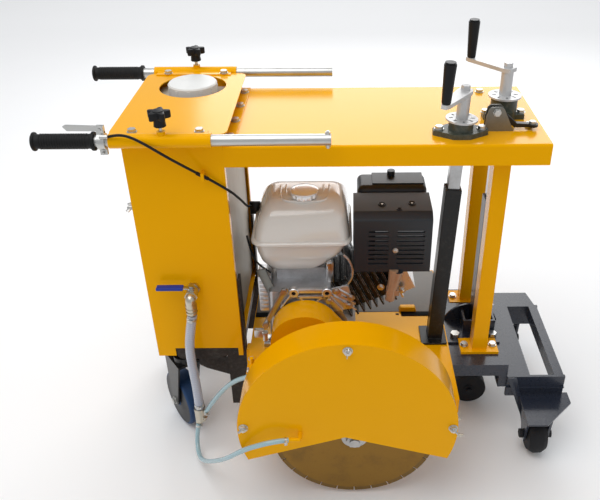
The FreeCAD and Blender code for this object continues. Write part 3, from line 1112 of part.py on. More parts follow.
# The belt drive, the blade and its guard
def hull(near, far, grow):
    """The solid that a belt round both pulleys encloses, grown outward."""
    span = "sqrt((blade_x - shaft_x)^2 + (blade_z - shaft_z)^2)"
    line = "atan2(blade_z - shaft_z; blade_x - shaft_x)"
    spread = f"acos((drive_pulley - driven_pulley) / {span})"
    first, second = f"(drive_pulley + {grow})", f"(driven_pulley + {grow})"
    corners = [(f"{x} + {r} * cos({line} {sign} {spread})", f"{z} + {r} * sin({line} {sign} {spread})")
               for x, z, r, sign in (("shaft_x", "shaft_z", first, "+"), ("blade_x", "blade_z", second, "+"),
                                     ("blade_x", "blade_z", second, "-"), ("shaft_x", "shaft_z", first, "-"))]
    web = place(padded("XZ_Plane", corners, f"({far}) - ({near})"), "0", far)
    return fuse(cylinder(first, f"({far}) - ({near})", "shaft_x", near, "shaft_z", "y"),
                cylinder(second, f"({far}) - ({near})", "blade_x", near, "blade_z", "y"), web)


def make_belt():
    near, far = "pulley_y - belt_wide / 2", "pulley_y + belt_wide / 2"
    return node("drive_belt", cut(hull(near, far, "(gap + belt_thick)"),
                                  hull(f"{near} - weld", f"{far} + weld", "gap")))


def make_crankshaft():
    shaft = cylinder("crankshaft_radius", "case_near + 30 - (pulley_y - pulley_wide / 2 - 8)", "0",
                     "pulley_y - pulley_wide / 2 - 8", "0", "y")
    pulley = cylinder("drive_pulley", "pulley_wide", "0", "pulley_y - pulley_wide / 2", "0", "y")
    return node("crankshaft", fuse(shaft, pulley), "shaft_x", "0", "shaft_z")


def make_blade_shaft():
    shaft = cylinder("shaft_radius", "pulley_y + pulley_wide / 2 + 6 - (blade_y + blade_thick / 2)", "0",
                     "blade_y + blade_thick / 2", "0", "y")
    arbor = cylinder("bore_radius - gap", "blade_flange_thick + blade_thick + 24", "0",
                     "blade_y - blade_thick / 2 - blade_flange_thick - 20", "0", "y")
    outer = cylinder("blade_flange", "blade_flange_thick", "0",
                     "blade_y - blade_thick / 2 - blade_flange_thick",
                     "0", "y")
    inner = cylinder("blade_flange", "blade_flange_thick", "0", "blade_y + blade_thick / 2", "0", "y")
    nut = hexagon("19", "14", "0", "blade_y - blade_thick / 2 - blade_flange_thick - 13", "0", "y")
    pulley = cylinder("driven_pulley", "pulley_wide", "0", "pulley_y - pulley_wide / 2", "0", "y")
    return node("blade_shaft", fuse(shaft, arbor, outer, inner, nut, pulley), "blade_x", "0", "blade_z")


def make_blade():
    disc = cylinder("blade_radius", "blade_thick", "0", "-blade_thick / 2", "0", "y")
    tools = [cylinder("bore_radius", "2 * blade_thick", "0", "-blade_thick", "0", "y")]
    for n in range(int(VALUE["slot_count"])):
        tools.append(turned(box(("-slot_wide / 2", "slot_wide / 2"), ("-blade_thick", "blade_thick"),
                                ("blade_radius - slot_deep", "blade_radius + weld")),
                            FreeCAD.Rotation(Y_AXIS, 360 * n / VALUE["slot_count"])))
    return node("blade", cut(disc, *tools), "blade_x", "blade_y", "blade_z")


def guard_cut(near, far):
    """Everything below the guard's lower edges, which rise to a shallow vee."""
    wide = "2 * guard_radius"
    low = "guard_z - guard_corner"
    side = "sqrt(guard_radius^2 - guard_corner^2)"
    points = ((f"guard_x - {wide}", "-guard_radius"), (f"guard_x - {wide}", low), (f"guard_x - {side}", low),
              ("guard_x + vee_x", "guard_z - vee_z"), (f"guard_x + {side}", low), (f"guard_x + {wide}", low),
              (f"guard_x + {wide}", "-guard_radius"))
    return place(padded("XZ_Plane", points, f"({far}) - ({near})"), "0", far)


def make_guard_shell():
    ring = cylinder("guard_radius", "guard_far - guard_near - guard_plate", "guard_x",
                    "guard_near + guard_plate",
                    "guard_z", "y")
    room = cylinder("guard_radius - guard_sheet", "guard_far - guard_near - 2 * guard_plate + weld",
                    "guard_x",
                    "guard_near + guard_plate - weld", "guard_z", "y")
    bore = cylinder("guard_bore", "4 * guard_plate", "blade_x", "guard_far - 2 * guard_plate", "blade_z", "y")
    back = "guard_far - weld"
    inlet = fuse(cylinder("5", "22", "inlet_x", back, "inlet_top", "y"),
                 cylinder("5", "34", "inlet_x", "inlet_y", "inlet_top - inlet_drop"))
    shell = cut(ring, room, bore, guard_cut("guard_near - 20", "guard_far + 20"))
    return node("guard_shell", fuse(shell, inlet))


def make_guard_front():
    disc = cylinder("guard_radius", "guard_plate", "guard_x", "guard_near", "guard_z", "y")
    plate = cut(disc, guard_cut("guard_near - 20", "guard_far + 20"),
                *[bolt_hole(x, z, "guard_near", "guard_plate", along="-y") for x, z in GUARD_BOLTS])
    barb = cylinder("5", "22", "barb_x", "guard_near - 21", "barb_z", "y")
    stub = cylinder("5", "26", "barb_x - 25", "guard_near - 20", "barb_z", "x")
    return node("guard_front", fuse(plate, barb, stub))


def make_belt_cover():
    def shape(inset, near, far):
        r = f"(belt_cover_radius - {inset})"
        base = "deck_top"
        web = place(padded("XZ_Plane", (
            (f"belt_cover_x - {r}", base), (f"belt_cover_x - {r}", "belt_cover_z"),
            (f"belt_cover_x + {r} * 0.787", f"belt_cover_z + {r} * 0.617"),
            (f"belt_cover_x + {r} * 0.787 + (belt_cover_z + {r} * 0.617 - deck_top) * 0.784", base)),
            f"({far}) - ({near})"), "0", far)
        return fuse(cylinder(r, f"({far}) - ({near})", "belt_cover_x", near, "belt_cover_z", "y"), web)
    low = box(("belt_cover_x - 300", "belt_cover_x + 300"), ("belt_cover_near - 20", "belt_cover_far + 20"),
              ("0", "deck_top"))
    outer = shape("0", "belt_cover_near", "belt_cover_far")
    inner = shape("belt_cover_sheet", "belt_cover_near + belt_cover_sheet", "belt_cover_far + weld")
    return node("belt_cover", cut(outer, inner, low))


# Water fittings
def make_valve():
    x, z = "valve_x", "valve_z"
    body = cylinder("valve_radius", "valve_out", x, "-table_half - valve_out", z, "y")
    flange = hexagon("valve_radius + 4", "8", x, "-table_half - 8", z, "y")
    nut = hexagon("valve_radius + 2", "14", x, "-table_half - valve_out - 2", z, "y")
    drop = cylinder("elbow_radius", "44", x, "valve_hose_y", f"{z} - 46")
    elbow = cylinder("valve_radius + 1.5", "27", x, "valve_hose_y - 14", z, "y")
    stem = cylinder("valve_stem", "valve_radius + 12", x, "-table_half - 24", z)
    return node("water_valve", fuse(body, flange, nut, drop, elbow, stem))


def make_valve_lever():
    bar = box(("-valve_lever_long", "-8"), ("-valve_lever_wide / 2", "valve_lever_wide / 2"),
              ("0", "valve_lever_thick"))
    hub = cylinder("11", "7")
    bore = cylinder("valve_stem + gap", "20", z="-weld")
    return node("valve_lever", cut(fuse(bar, hub), bore), "valve_x", "-table_half - 24",
                "valve_z + valve_radius + 1.5 + gap")


def make_splitter():
    body = cylinder("supply_radius + 3", "42", "splitter_x", "valve_hose_y", "splitter_z")
    legs = [turned(cylinder("branch_radius + 2", "16", z="0"), turn, x, "valve_hose_y - 2", z)
            for turn, x, z in ((FreeCAD.Rotation(Z_AXIS, FreeCAD.Vector(14, -9, 30)), "splitter_x + 6",
                                "splitter_z + 4"),
                               (FreeCAD.Rotation(Z_AXIS, FreeCAD.Vector(-7, -9, -24)), "splitter_x - 2",
                                "splitter_z + 8"))]
    return node("hose_splitter", fuse(body, *legs))


# Bolts and hoses
def make_bolts():
    over, thin = "base_top + foot_thick", "table_top + casting_flange"
    deep = "mount_thick + housing_sheet - 0.5"
    bolts = [bolt(x, y, "table_top", "table_sheet") for x, y in TABLE_BOLTS]
    bolts += [bolt(x, y, "cover_under + cover_thick + flange_thick", "flange_thick + cover_thick")
              for x, y in SOCKET_BOLTS]
    bolts += [bolt(x, y, over, "foot_thick + base_sheet") for x, y in FOOT_BOLTS]
    bolts += [bolt(x, y, "base_top + bracket_thick", "bracket_thick + base_sheet", "big_head",
                   "big_head_high",
                   "big_shank") for x, y in BRACKET_BOLTS]
    bolts += [bolt(x, y, thin, "casting_flange") for x, y in CASTING_BOLTS]
    bolts += [bolt(x, y, "housing_floor - mount_thick", deep, along="-z") for x, y in CASTER_BOLTS]
    node("frame_bolts", group(*bolts))
    deck = [bolt(x, y, "deck_top + 12", "12 + deck_sheet") for x, y in DECK_BOLTS]
    deck += [bolt(x, z, "guard_near", "guard_plate", along="-y") for x, z in GUARD_BOLTS]
    node("deck_bolts", group(*deck))


# Where each hose and cable runs, from its first fitting to its last
ROUTES = {
    "supply_hose": [(-363.3, -237, 447), (-372, -237, 408), (-383, -237, 345), (-382, -237, 272),
                    (-379, -237, 198), (-380, -237, 136.5)],
    "guard_hose_back": [(-362.6, -247.4, 127.8), (-350, -256, 154), (-325, -273, 203), (-294, -293, 257),
                        (-258, -316, 306), (-215.5, -349.5, 348), (-209.8, -354.8, 374)],
    "guard_hose_front": [(-387, -245.5, 85.3), (-393, -251, 55), (-392, -273, 26), (-380, -309, 22),
                         (-357, -345, 48), (-323, -389, 98), (-278, -438, 163), (-229, -468, 227),
                         (-184, -481, 258), (-149, -479, 266), (-122.5, -472.5, 263)],
    "throttle_cable_rear": [(-483.8, -240, 918), (-464, -243, 924), (-437, -247, 921), (-406, -248, 903),
                            (-372, -244, 876), (-340, -228, 845), (-311.5, -208, 815)],
    "throttle_cable_front": [(-296.5, -201, 802), (-279, -200, 790), (-246, -194, 763), (-239, -160, 733),
                             (-237, -105, 692), (-236, -50, 650), (-234, -14, 626), (-233, 6.5, 618)],
}
RADII = {"supply_hose": "supply_radius", "guard_hose_back": "branch_radius",
         "guard_hose_front": "branch_radius", "throttle_cable_rear": "cable_radius",
         "throttle_cable_front": "cable_radius"}


def build():
    fill_sheet()
    make_table()
    make_tank_housing()
    make_tank_cover()
    make_water_tank()
    make_water_cap()
    make_handle_sockets()
    for end, side in (("near", -1), ("far", 1)):
        make_knob(f"knob_{end}", side)
        make_handle(f"handle_{end}", side)
        make_grip(f"grip_{end}", side)
        make_caster(end, side)
        make_guide_roller(f"guide_roller_{end}", f"roller_{end}")
    make_throttle()
    make_front_posts()
    make_front_base()
    make_guide_frame()
    make_jack_bracket()
    make_front_carriage()
    make_front_wheels()
    make_rear_chassis()
    make_inner_tubes()
    make_outer_tube()
    make_castings()
    make_lock_pawl()
    make_cranks()
    make_deck()
    make_crankcase()
    make_cylinder()
    make_muffler()
    make_air_cleaner()
    make_fuel_tank()
    make_fuel_cap()
    make_starter()
    make_belt()
    make_crankshaft()
    make_blade_shaft()
    make_blade()
    make_guard_shell()
    make_guard_front()
    make_belt_cover()
    make_valve()
    make_valve_lever()
    make_splitter()
    make_bolts()
    for label, points in ROUTES.items():
        cord(label, points, VALUE[RADII[label]])
    doc.recompute()


def check_and_write():
    """Stops on any broken object, then writes one file for each sub-part."""
    bad = [thing.Label for thing in doc.Objects if {"Invalid", "Error"} & set(thing.State)]
    bad += [thing.Label for thing in nodes if thing.Shape.isNull() or not thing.Shape.isValid()
            or not thing.Shape.Solids]
    if bad:
        raise SystemExit("broken: " + ", ".join(bad))
    whole = FreeCAD.BoundBox()
    os.makedirs("parts", exist_ok=True)
    for thing in nodes:
        thing.Shape.exportStep(f"parts/{thing.Label}.step")
        if not thing.Label.startswith(("supply_hose", "hose_splitter", "guard_hose", "throttle_cable")):
            whole.add(thing.Shape.BoundBox)
    print(len(nodes), "nodes, box", whole)


build()
check_and_write()
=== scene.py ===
import json
import math
from functools import cache

import bmesh
import bpy
from bpy.props import FloatProperty, FloatVectorProperty, IntProperty, PointerProperty
from mathutils import Matrix, Vector


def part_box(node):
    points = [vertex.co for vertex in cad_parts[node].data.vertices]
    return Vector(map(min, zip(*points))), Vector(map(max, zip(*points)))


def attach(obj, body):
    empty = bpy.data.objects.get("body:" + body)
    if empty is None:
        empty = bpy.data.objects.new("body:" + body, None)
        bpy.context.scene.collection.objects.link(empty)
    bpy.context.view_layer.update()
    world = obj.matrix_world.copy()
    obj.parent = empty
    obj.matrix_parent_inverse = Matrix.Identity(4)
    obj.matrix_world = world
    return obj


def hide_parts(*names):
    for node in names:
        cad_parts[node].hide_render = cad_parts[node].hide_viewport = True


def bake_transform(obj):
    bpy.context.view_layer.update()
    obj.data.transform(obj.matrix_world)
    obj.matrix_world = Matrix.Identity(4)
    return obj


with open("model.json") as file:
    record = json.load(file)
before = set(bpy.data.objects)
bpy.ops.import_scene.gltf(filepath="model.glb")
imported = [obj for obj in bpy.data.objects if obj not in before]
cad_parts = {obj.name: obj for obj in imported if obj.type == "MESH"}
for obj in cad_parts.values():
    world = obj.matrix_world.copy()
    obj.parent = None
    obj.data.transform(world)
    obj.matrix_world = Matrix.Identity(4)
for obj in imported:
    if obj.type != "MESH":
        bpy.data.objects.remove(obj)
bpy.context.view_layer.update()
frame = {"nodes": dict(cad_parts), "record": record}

bl_info = {
    "name": "Floor Saw Builder",
    "version": (1, 0, 0),
    "blender": (4, 5, 0),
    "location": "3D View > Sidebar > Saw",
    "description": "Dresses the packed model of a walk-behind concrete saw",
    "category": "Add Mesh",
}

HOME_OF = {node: body for body, nodes in frame["record"]["behaviour"]["bodies"].items() for node in nodes}
SLOT_OF = {part["node"]: part["material_slot"] for part in frame["record"]["subparts"]}


# Sizes and colours that a user may change
def colour_setting(name, about, default):
    """A colour that the sidebar shows."""
    return FloatVectorProperty(name=name, description=about, subtype="COLOR", default=default, min=0, max=1)


class SawPaints(bpy.types.PropertyGroup):
    """Colours of the painted and plated finishes"""
    yellow: colour_setting("Yellow paint", "Gloss enamel on the sheet metal", (0.88, 0.41, 0.0005))
    frame_black: colour_setting("Frame paint", "Blue-black enamel on the front frame", (0.020, 0.025, 0.040))
    jack_black: colour_setting("Black paint", "Black enamel on jacks and brackets", (0.006, 0.006, 0.006))
    chassis_brown: colour_setting("Chassis paint", "Brown-black primer under the tank", (0.022, 0.014, 0.010))
    tank_cream: colour_setting("Fuel tank paint", "Pale enamel on the fuel tank", (0.74, 0.71, 0.66))
    blade_bronze: colour_setting("Blade lacquer", "Gold lacquer on the blade's steel core",
                                 (0.27, 0.140, 0.022))
    casting_green: colour_setting("Casting paint", "Dull green paint on the crank castings",
                                  (0.045, 0.055, 0.040))
    tyre_blue: colour_setting("Tread", "Blue elastic rubber of the caster treads", (0.022, 0.060, 0.150))
    lever_blue: colour_setting("Valve sleeve", "Blue vinyl on the valve's lever", (0.020, 0.045, 0.320))


class SawHoses(bpy.types.PropertyGroup):
    """Sizes of the water hoses and the throttle cable"""
    supply: FloatProperty(name="Supply hose", description="Outside diameter of the braided hose",
                          unit="LENGTH", default=0.024, min=0.01, max=0.05)
    branch: FloatProperty(name="Branch hose", description="Outside diameter of the two clear hoses",
                          unit="LENGTH", default=0.012, min=0.005, max=0.03)
    cable: FloatProperty(name="Throttle cable", description="Outside diameter of the cable's sheath",
                         unit="LENGTH", default=0.006, min=0.003, max=0.012)
    sides: IntProperty(name="Sides", description="Faces around each hose", default=24, min=8, max=64)


class SawEdges(bpy.types.PropertyGroup):
    """Rounding of the sheet metal's edges"""
    sheet: FloatProperty(name="Sheet edges", description="Rounding of folded and sheared sheet",
                         unit="LENGTH", default=0.0012, min=0.0, max=0.004)
    casting: FloatProperty(name="Casting edges", description="Rounding of cast and moulded pieces",
                           unit="LENGTH", default=0.0016, min=0.0, max=0.006)
    smooth: FloatProperty(name="Smooth angle",
                          description="Faces that meet below this angle are shaded as one",
                          subtype="ANGLE", default=math.radians(32), min=0, max=math.pi)


class SawStage(bpy.types.PropertyGroup):
    """Floor, lights and camera"""
    floor: colour_setting("Floor", "Colour of the plain floor", (0.94, 0.94, 0.94))
    key: FloatProperty(name="Key light", description="Power of the large overhead light", subtype="POWER",
                       default=56.0, min=0)
    fill: FloatProperty(name="Fill light", description="Power of the light beside the camera",
                        subtype="POWER",
                        default=5.0, min=0)
    lens: FloatProperty(name="Lens", description="Focal length of the camera in millimetres", default=42.5,
                        min=10, max=200)
    tilt: FloatProperty(name="Tilt", description="Angle of the camera below the horizon", subtype="ANGLE",
                        default=math.radians(32.2), min=0, max=1.5)
    roll: FloatProperty(name="Roll", description="Turn of the camera about its own axis", subtype="ANGLE",
                        default=math.radians(-0.4), min=-0.2, max=0.2)


GROUPS = (SawPaints, SawHoses, SawEdges, SawStage)


def paints():
    return bpy.context.scene.saw_paints


def hoses():
    return bpy.context.scene.saw_hoses


def edges():
    return bpy.context.scene.saw_edges


# Places and shapes
TABLE_LOW, TABLE_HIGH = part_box("table")
REAR_TO_CENTRE = 0.256  # from the table's rear edge to the chassis centre, in metres
CENTRE = Vector((TABLE_LOW[0] + REAR_TO_CENTRE, (TABLE_LOW[1] + TABLE_HIGH[1]) / 2, 0.0))
HERE = Matrix.Translation(CENTRE)
LEAN = Matrix.Rotation(math.radians(-25.0), 4, "Y")  # how far the engine's cylinder leans back
NEAR = (0, -1, 0)  # the way towards the blade's side
DECK_TOP = 286.9  # heights and places here are in millimetres unless a note says otherwise
BLADE_CORE_EDGE = 0.1875  # where the blade's core ends and its rim begins, in metres
CASTER_TURNS = (("near", -54), ("far", 24))  # degrees about the upright pivots at rest
CASTER_HALF = 32.0  # from a caster wheel's middle to its nuts
SURFACE_RELIEF = 0.0006  # depth of the finishes' grain, in metres
TUBE_STEP = 0.0035  # from ring to ring along a hose, in metres


def spot(x, y, z):
    """A place given in millimetres about the chassis centre line."""
    return CENTRE + Vector((x, y, z)) / 1000


def middle_of(node):
    """The middle of a CAD node's box."""
    low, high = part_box(node)
    return (Vector(low) + Vector(high)) / 2


def facing(place, way=(0, 0, 1), turn=0.0):
    """A frame at a place whose Z axis points a given way, turned about it by degrees."""
    lift = Vector((0, 0, 1)).rotation_difference(Vector(way)).to_matrix().to_4x4()
    return Matrix.Translation(place) @ lift @ Matrix.Rotation(math.radians(turn), 4, "Z")


# Nodes of the materials and of the geometry trees
def feed(tree, node, feeds):
    """Sets a node's inputs to values or links them to sockets."""
    for key, value in feeds.items():
        if isinstance(value, bpy.types.NodeSocket):
            tree.links.new(value, node.inputs[key])
        else:
            node.inputs[key].default_value = value
    return node


def plug(tree, kind, feeds=None, **settings):
    """A new node with its settings and its inputs."""
    node = tree.nodes.new(kind)
    for key, value in settings.items():
        setattr(node, key, value)
    return feed(tree, node, feeds or {})


def group_tree(name, kind, inputs, outputs):
    """An empty node group and the nodes at its two ends."""
    tree = bpy.data.node_groups.new(name, kind)
    for way, sockets in (("INPUT", inputs), ("OUTPUT", outputs)):
        for label, sort, *value in sockets:
            socket = tree.interface.new_socket(label, in_out=way, socket_type="NodeSocket" + sort)
            if value:
                socket.default_value = value[0]
    return tree, tree.nodes.new("NodeGroupInput"), tree.nodes.new("NodeGroupOutput")


def math_node(tree, how, first, second=0.5, clamp=False):
    """One sum of the maths node."""
    return plug(tree, "ShaderNodeMath", {0: first, 1: second}, operation=how, use_clamp=clamp).outputs[0]


def times(tree, first, second, clamp=False):
    """One value times another."""
    return math_node(tree, "MULTIPLY", first, second, clamp)


def ramp(tree, value, low, high):
    """A smooth step of value from low to high."""
    return plug(tree, "ShaderNodeMapRange", {"Value": value, "From Min": low, "From Max": high},
                interpolation_type="SMOOTHSTEP").outputs["Result"]


def noise(tree, vector, scale, detail=3.0, rough=0.5):
    """A cloudy value from 0 to 1."""
    return plug(tree, "ShaderNodeTexNoise", {"Vector": vector, "Scale": scale, "Detail": detail,
                                             "Roughness": rough}).outputs["Fac"]


def blend_colour(tree, mask, first, second):
    """The first colour where the mask is 0 and the second where it is 1."""
    first, second = (value if isinstance(value, bpy.types.NodeSocket) else (*value[:3], 1.0)
                     for value in (first, second))
    return plug(tree, "ShaderNodeMix", {0: mask, 6: first, 7: second}, data_type="RGBA").outputs[2]


SURFACE = (("Color", "Color"), ("Roughness", "Float"), ("Height", "Float"))


@cache
def wear_and_highlight_group():
    """Mottling, dust and edge colour that the painted finishes share: worn bare metal at most edges, a
    painted highlight at the engine fins' edges.
    """
    tree, enter, leave = group_tree("Saw surface", "ShaderNodeTree", (
        ("Vector", "Vector"), ("Base", "Color", (0.5, 0.5, 0.5, 1)), ("Bare", "Color", (0.3, 0.3, 0.3, 1)),
        ("Dust", "Color", (0.55, 0.5, 0.42, 1)), ("Mottle", "Float", 0.1), ("Dust amount", "Float", 0.2),
        ("Edge wear", "Float", 0.3), ("Edge width", "Float", 0.0015), ("Roughness", "Float", 0.3),
        ("Peel scale", "Float", 260.0)), SURFACE)
    given = enter.outputs
    cloud = noise(tree, given["Vector"], 7.0, 5.0, 0.6)
    fine = noise(tree, given["Vector"], 90.0, 4.0, 0.7)
    peel = noise(tree, given["Vector"], given["Peel scale"], 1.0, 0.5)
    tone = times(tree, math_node(tree, "SUBTRACT", cloud, 0.5), given["Mottle"])
    light = plug(tree, "ShaderNodeHueSaturation",
                 {"Color": given["Base"], "Value": math_node(tree, "ADD", tone, 1.0)})
    dusty = times(tree, ramp(tree, times(tree, cloud, fine), 0.22, 0.42), given["Dust amount"], True)
    colour = blend_colour(tree, dusty, light.outputs["Color"], given["Dust"])
    bevel = plug(tree, "ShaderNodeBevel", {"Radius": given["Edge width"]}, samples=4)
    place = plug(tree, "ShaderNodeNewGeometry")
    dot = plug(tree, "ShaderNodeVectorMath", {0: bevel.outputs["Normal"], 1: place.outputs["Normal"]},
               operation="DOT_PRODUCT")
    near_edge = ramp(tree, math_node(tree, "SUBTRACT", 1.0, dot.outputs["Value"]), 0.02, 0.25)
    # Edge colour: worn bare metal on most finishes; on the fins it is a painted highlight.
    edge_wear_and_highlight = times(tree, times(tree, near_edge, ramp(tree, fine, 0.42, 0.62)), given["Edge wear"], True)
    uneven = math_node(tree, "ADD", times(tree, dusty, 0.35),
                       times(tree, math_node(tree, "SUBTRACT", fine, 0.5), 0.10))
    feed(tree, leave, {
        "Color": blend_colour(tree, edge_wear_and_highlight, colour, given["Bare"]),
        "Roughness": math_node(tree, "ADD", given["Roughness"], uneven, True),
        "Height": math_node(tree, "ADD", times(tree, peel, 0.6), times(tree, cloud, 0.4))})
    return tree


@cache
def grain_group():
    """Brushed, cast or moulded texture: a colour shift, a roughness shift and a height."""
    tree, enter, leave = group_tree("Saw grain", "ShaderNodeTree", (
        ("Vector", "Vector"), ("Base", "Color", (0.5, 0.5, 0.5, 1)), ("Dark", "Color", (0.1, 0.1, 0.1, 1)),
        ("Scale", "Float", 300.0), ("Stain", "Float", 0.4), ("Roughness", "Float", 0.4),
        ("Spread", "Float", 0.15)), SURFACE)
    given = enter.outputs
    cloud = noise(tree, given["Vector"], 16.0, 6.0, 0.65)
    grit = noise(tree, given["Vector"], given["Scale"], 3.0, 0.6)
    stain = times(tree, ramp(tree, cloud, 0.45, 0.75), given["Stain"], True)
    colour = blend_colour(tree, stain, given["Base"], given["Dark"])
    fleck = times(tree, ramp(tree, grit, 0.55, 0.8), 0.25)
    shift = times(tree, math_node(tree, "SUBTRACT", cloud, 0.5), given["Spread"])
    feed(tree, leave, {"Color": blend_colour(tree, fleck, colour, given["Dark"]),
                       "Roughness": math_node(tree, "ADD", given["Roughness"], shift, True), "Height": grit})
    return tree


# Materials
def begin_material(name):
    """A new material with its tree, its shader and the place on the piece."""
    mat = bpy.data.materials.new(name)
    mat.use_nodes = True
    tree = mat.node_tree
    return mat, tree, tree.nodes["Principled BSDF"], plug(tree, "ShaderNodeTexCoord").outputs["Object"]


def use_group(tree, group, vector, **values):
    """A node group in a material. An underscore stands for the space in a label."""
    feeds = {label.replace("_", " "): (*value[:3], 1.0) if hasattr(value, "__len__") else value
             for label, value in values.items()}
    return plug(tree, "ShaderNodeGroup", {"Vector": vector, **feeds}, node_tree=group)


def raised(tree, height, strength, distance):
    """The normal of a surface that a height lifts."""
    return plug(tree, "ShaderNodeBump", {"Strength": strength, "Distance": distance,
                                         "Height": height}).outputs["Normal"]


def finish_surface(tree, shader, node, strength):
    """Hands a surface group's colour, roughness and relief to the shader."""
    feed(tree, shader, {"Base Color": node.outputs["Color"], "Roughness": node.outputs["Roughness"],
                        "Normal": raised(tree, node.outputs["Height"], strength, SURFACE_RELIEF)})


def enamel(name, colour, rough=0.28, coat=0.5, dust=0.06, wear=0.35, mottle=0.10, bare=(0.25, 0.24, 0.23),
           gloss=0.5, tint=(1, 1, 1)):
    """Paint with dust, edge colour and a clear coat; the edge colour is worn bare metal, and on the fins a
    painted highlight.
    """
    mat, tree, shader, vector = begin_material(name)
    node = use_group(tree, wear_and_highlight_group(), vector, Base=colour, Bare=bare, Mottle=mottle, Dust_amount=dust,
                     Edge_wear=wear, Roughness=rough)
    finish_surface(tree, shader, node, 0.10)
    feed(tree, shader, {"Specular IOR Level": gloss, "Specular Tint": (*tint, 1.0), "Coat Weight": coat,
                        "Coat Roughness": 0.12})
    return mat


def metal(name, colour, dark, rough=0.35, scale=350.0, stain=0.35, bump=0.15, metallic=1.0, spread=0.2):
    """Bare or plated metal, darker where it is stained."""
    mat, tree, shader, vector = begin_material(name)
    node = use_group(tree, grain_group(), vector, Base=colour, Dark=dark, Scale=scale, Stain=stain,
                     Roughness=rough, Spread=spread)
    finish_surface(tree, shader, node, bump)
    feed(tree, shader, {"Metallic": metallic})
    return mat


def moulded(name, colour, dark, rough=0.55, scale=700.0, bump=0.2, stain=0.2):
    """Rubber or plastic with a fine grain."""
    mat = metal(name, colour, dark, rough, scale, stain, bump, 0.0, 0.12)
    feed(mat.node_tree, mat.node_tree.nodes["Principled BSDF"], {"Specular IOR Level": 0.2})
    return mat


def hose_material(name, colour, thread, pitch=0.006):
    """A clear hose whose reinforcing thread crosses in two spirals, read from its own UV map."""
    mat, tree, shader, _ = begin_material(name)
    place = plug(tree, "ShaderNodeUVMap", uv_map="Along").outputs["UV"]
    split = plug(tree, "ShaderNodeSeparateXYZ", {"Vector": place})
    lines = []
    for sign in (1.0, -1.0):
        turn = times(tree, split.outputs["X"], sign)
        length = math_node(tree, "DIVIDE", split.outputs["Y"], pitch)
        wave = math_node(tree, "FRACT", math_node(tree, "ADD", length, turn))
        lines.append(ramp(tree, math_node(tree, "ABSOLUTE", math_node(tree, "SUBTRACT", wave, 0.5)),
                          0.10, 0.02))
    mesh = math_node(tree, "MAXIMUM", *lines)
    cloud = noise(tree, place, 30.0, 3.0)
    tone = blend_colour(tree, times(tree, cloud, 0.35), colour, tuple(c * 0.7 for c in colour))
    feed(tree, shader, {
        "Base Color": blend_colour(tree, times(tree, mesh, 0.5), tone, thread),
        "Normal": raised(tree, mesh, 0.25, 0.0004), "Roughness": 0.22, "Coat Weight": 0.7,
        "Coat Roughness": 0.1, "Subsurface Weight": 0.15, "Subsurface Radius": (0.01, 0.01, 0.012)})
    return mat


def blade_material():
    """Lacquered steel with rings left by the grinder, centred on the blade's shaft."""
    mat, tree, shader, vector = begin_material("Blade core")
    shift = plug(tree, "ShaderNodeVectorMath", {0: vector, 1: middle_of("blade")}, operation="SUBTRACT")
    length = plug(tree, "ShaderNodeVectorMath", {0: shift.outputs[0]}, operation="LENGTH").outputs["Value"]
    joined = plug(tree, "ShaderNodeCombineXYZ", {"X": length})
    rings = noise(tree, joined.outputs["Vector"], 900.0, 2.0)
    node = use_group(tree, grain_group(), vector, Base=paints().blade_bronze, Dark=(0.10, 0.06, 0.02),
                     Scale=160.0, Stain=0.5, Roughness=0.36, Spread=0.25)
    rim = times(tree, ramp(tree, length, BLADE_CORE_EDGE, BLADE_CORE_EDGE + 0.002), 0.55)
    colour = blend_colour(tree, times(tree, rings, 0.25), node.outputs["Color"], (0.42, 0.24, 0.05))
    feed(tree, shader, {
        "Base Color": blend_colour(tree, rim, colour, (0.13, 0.085, 0.035)),
        "Roughness": node.outputs["Roughness"], "Normal": raised(tree, rings, 0.2, 0.0003),
        "Metallic": 0.75})
    return mat


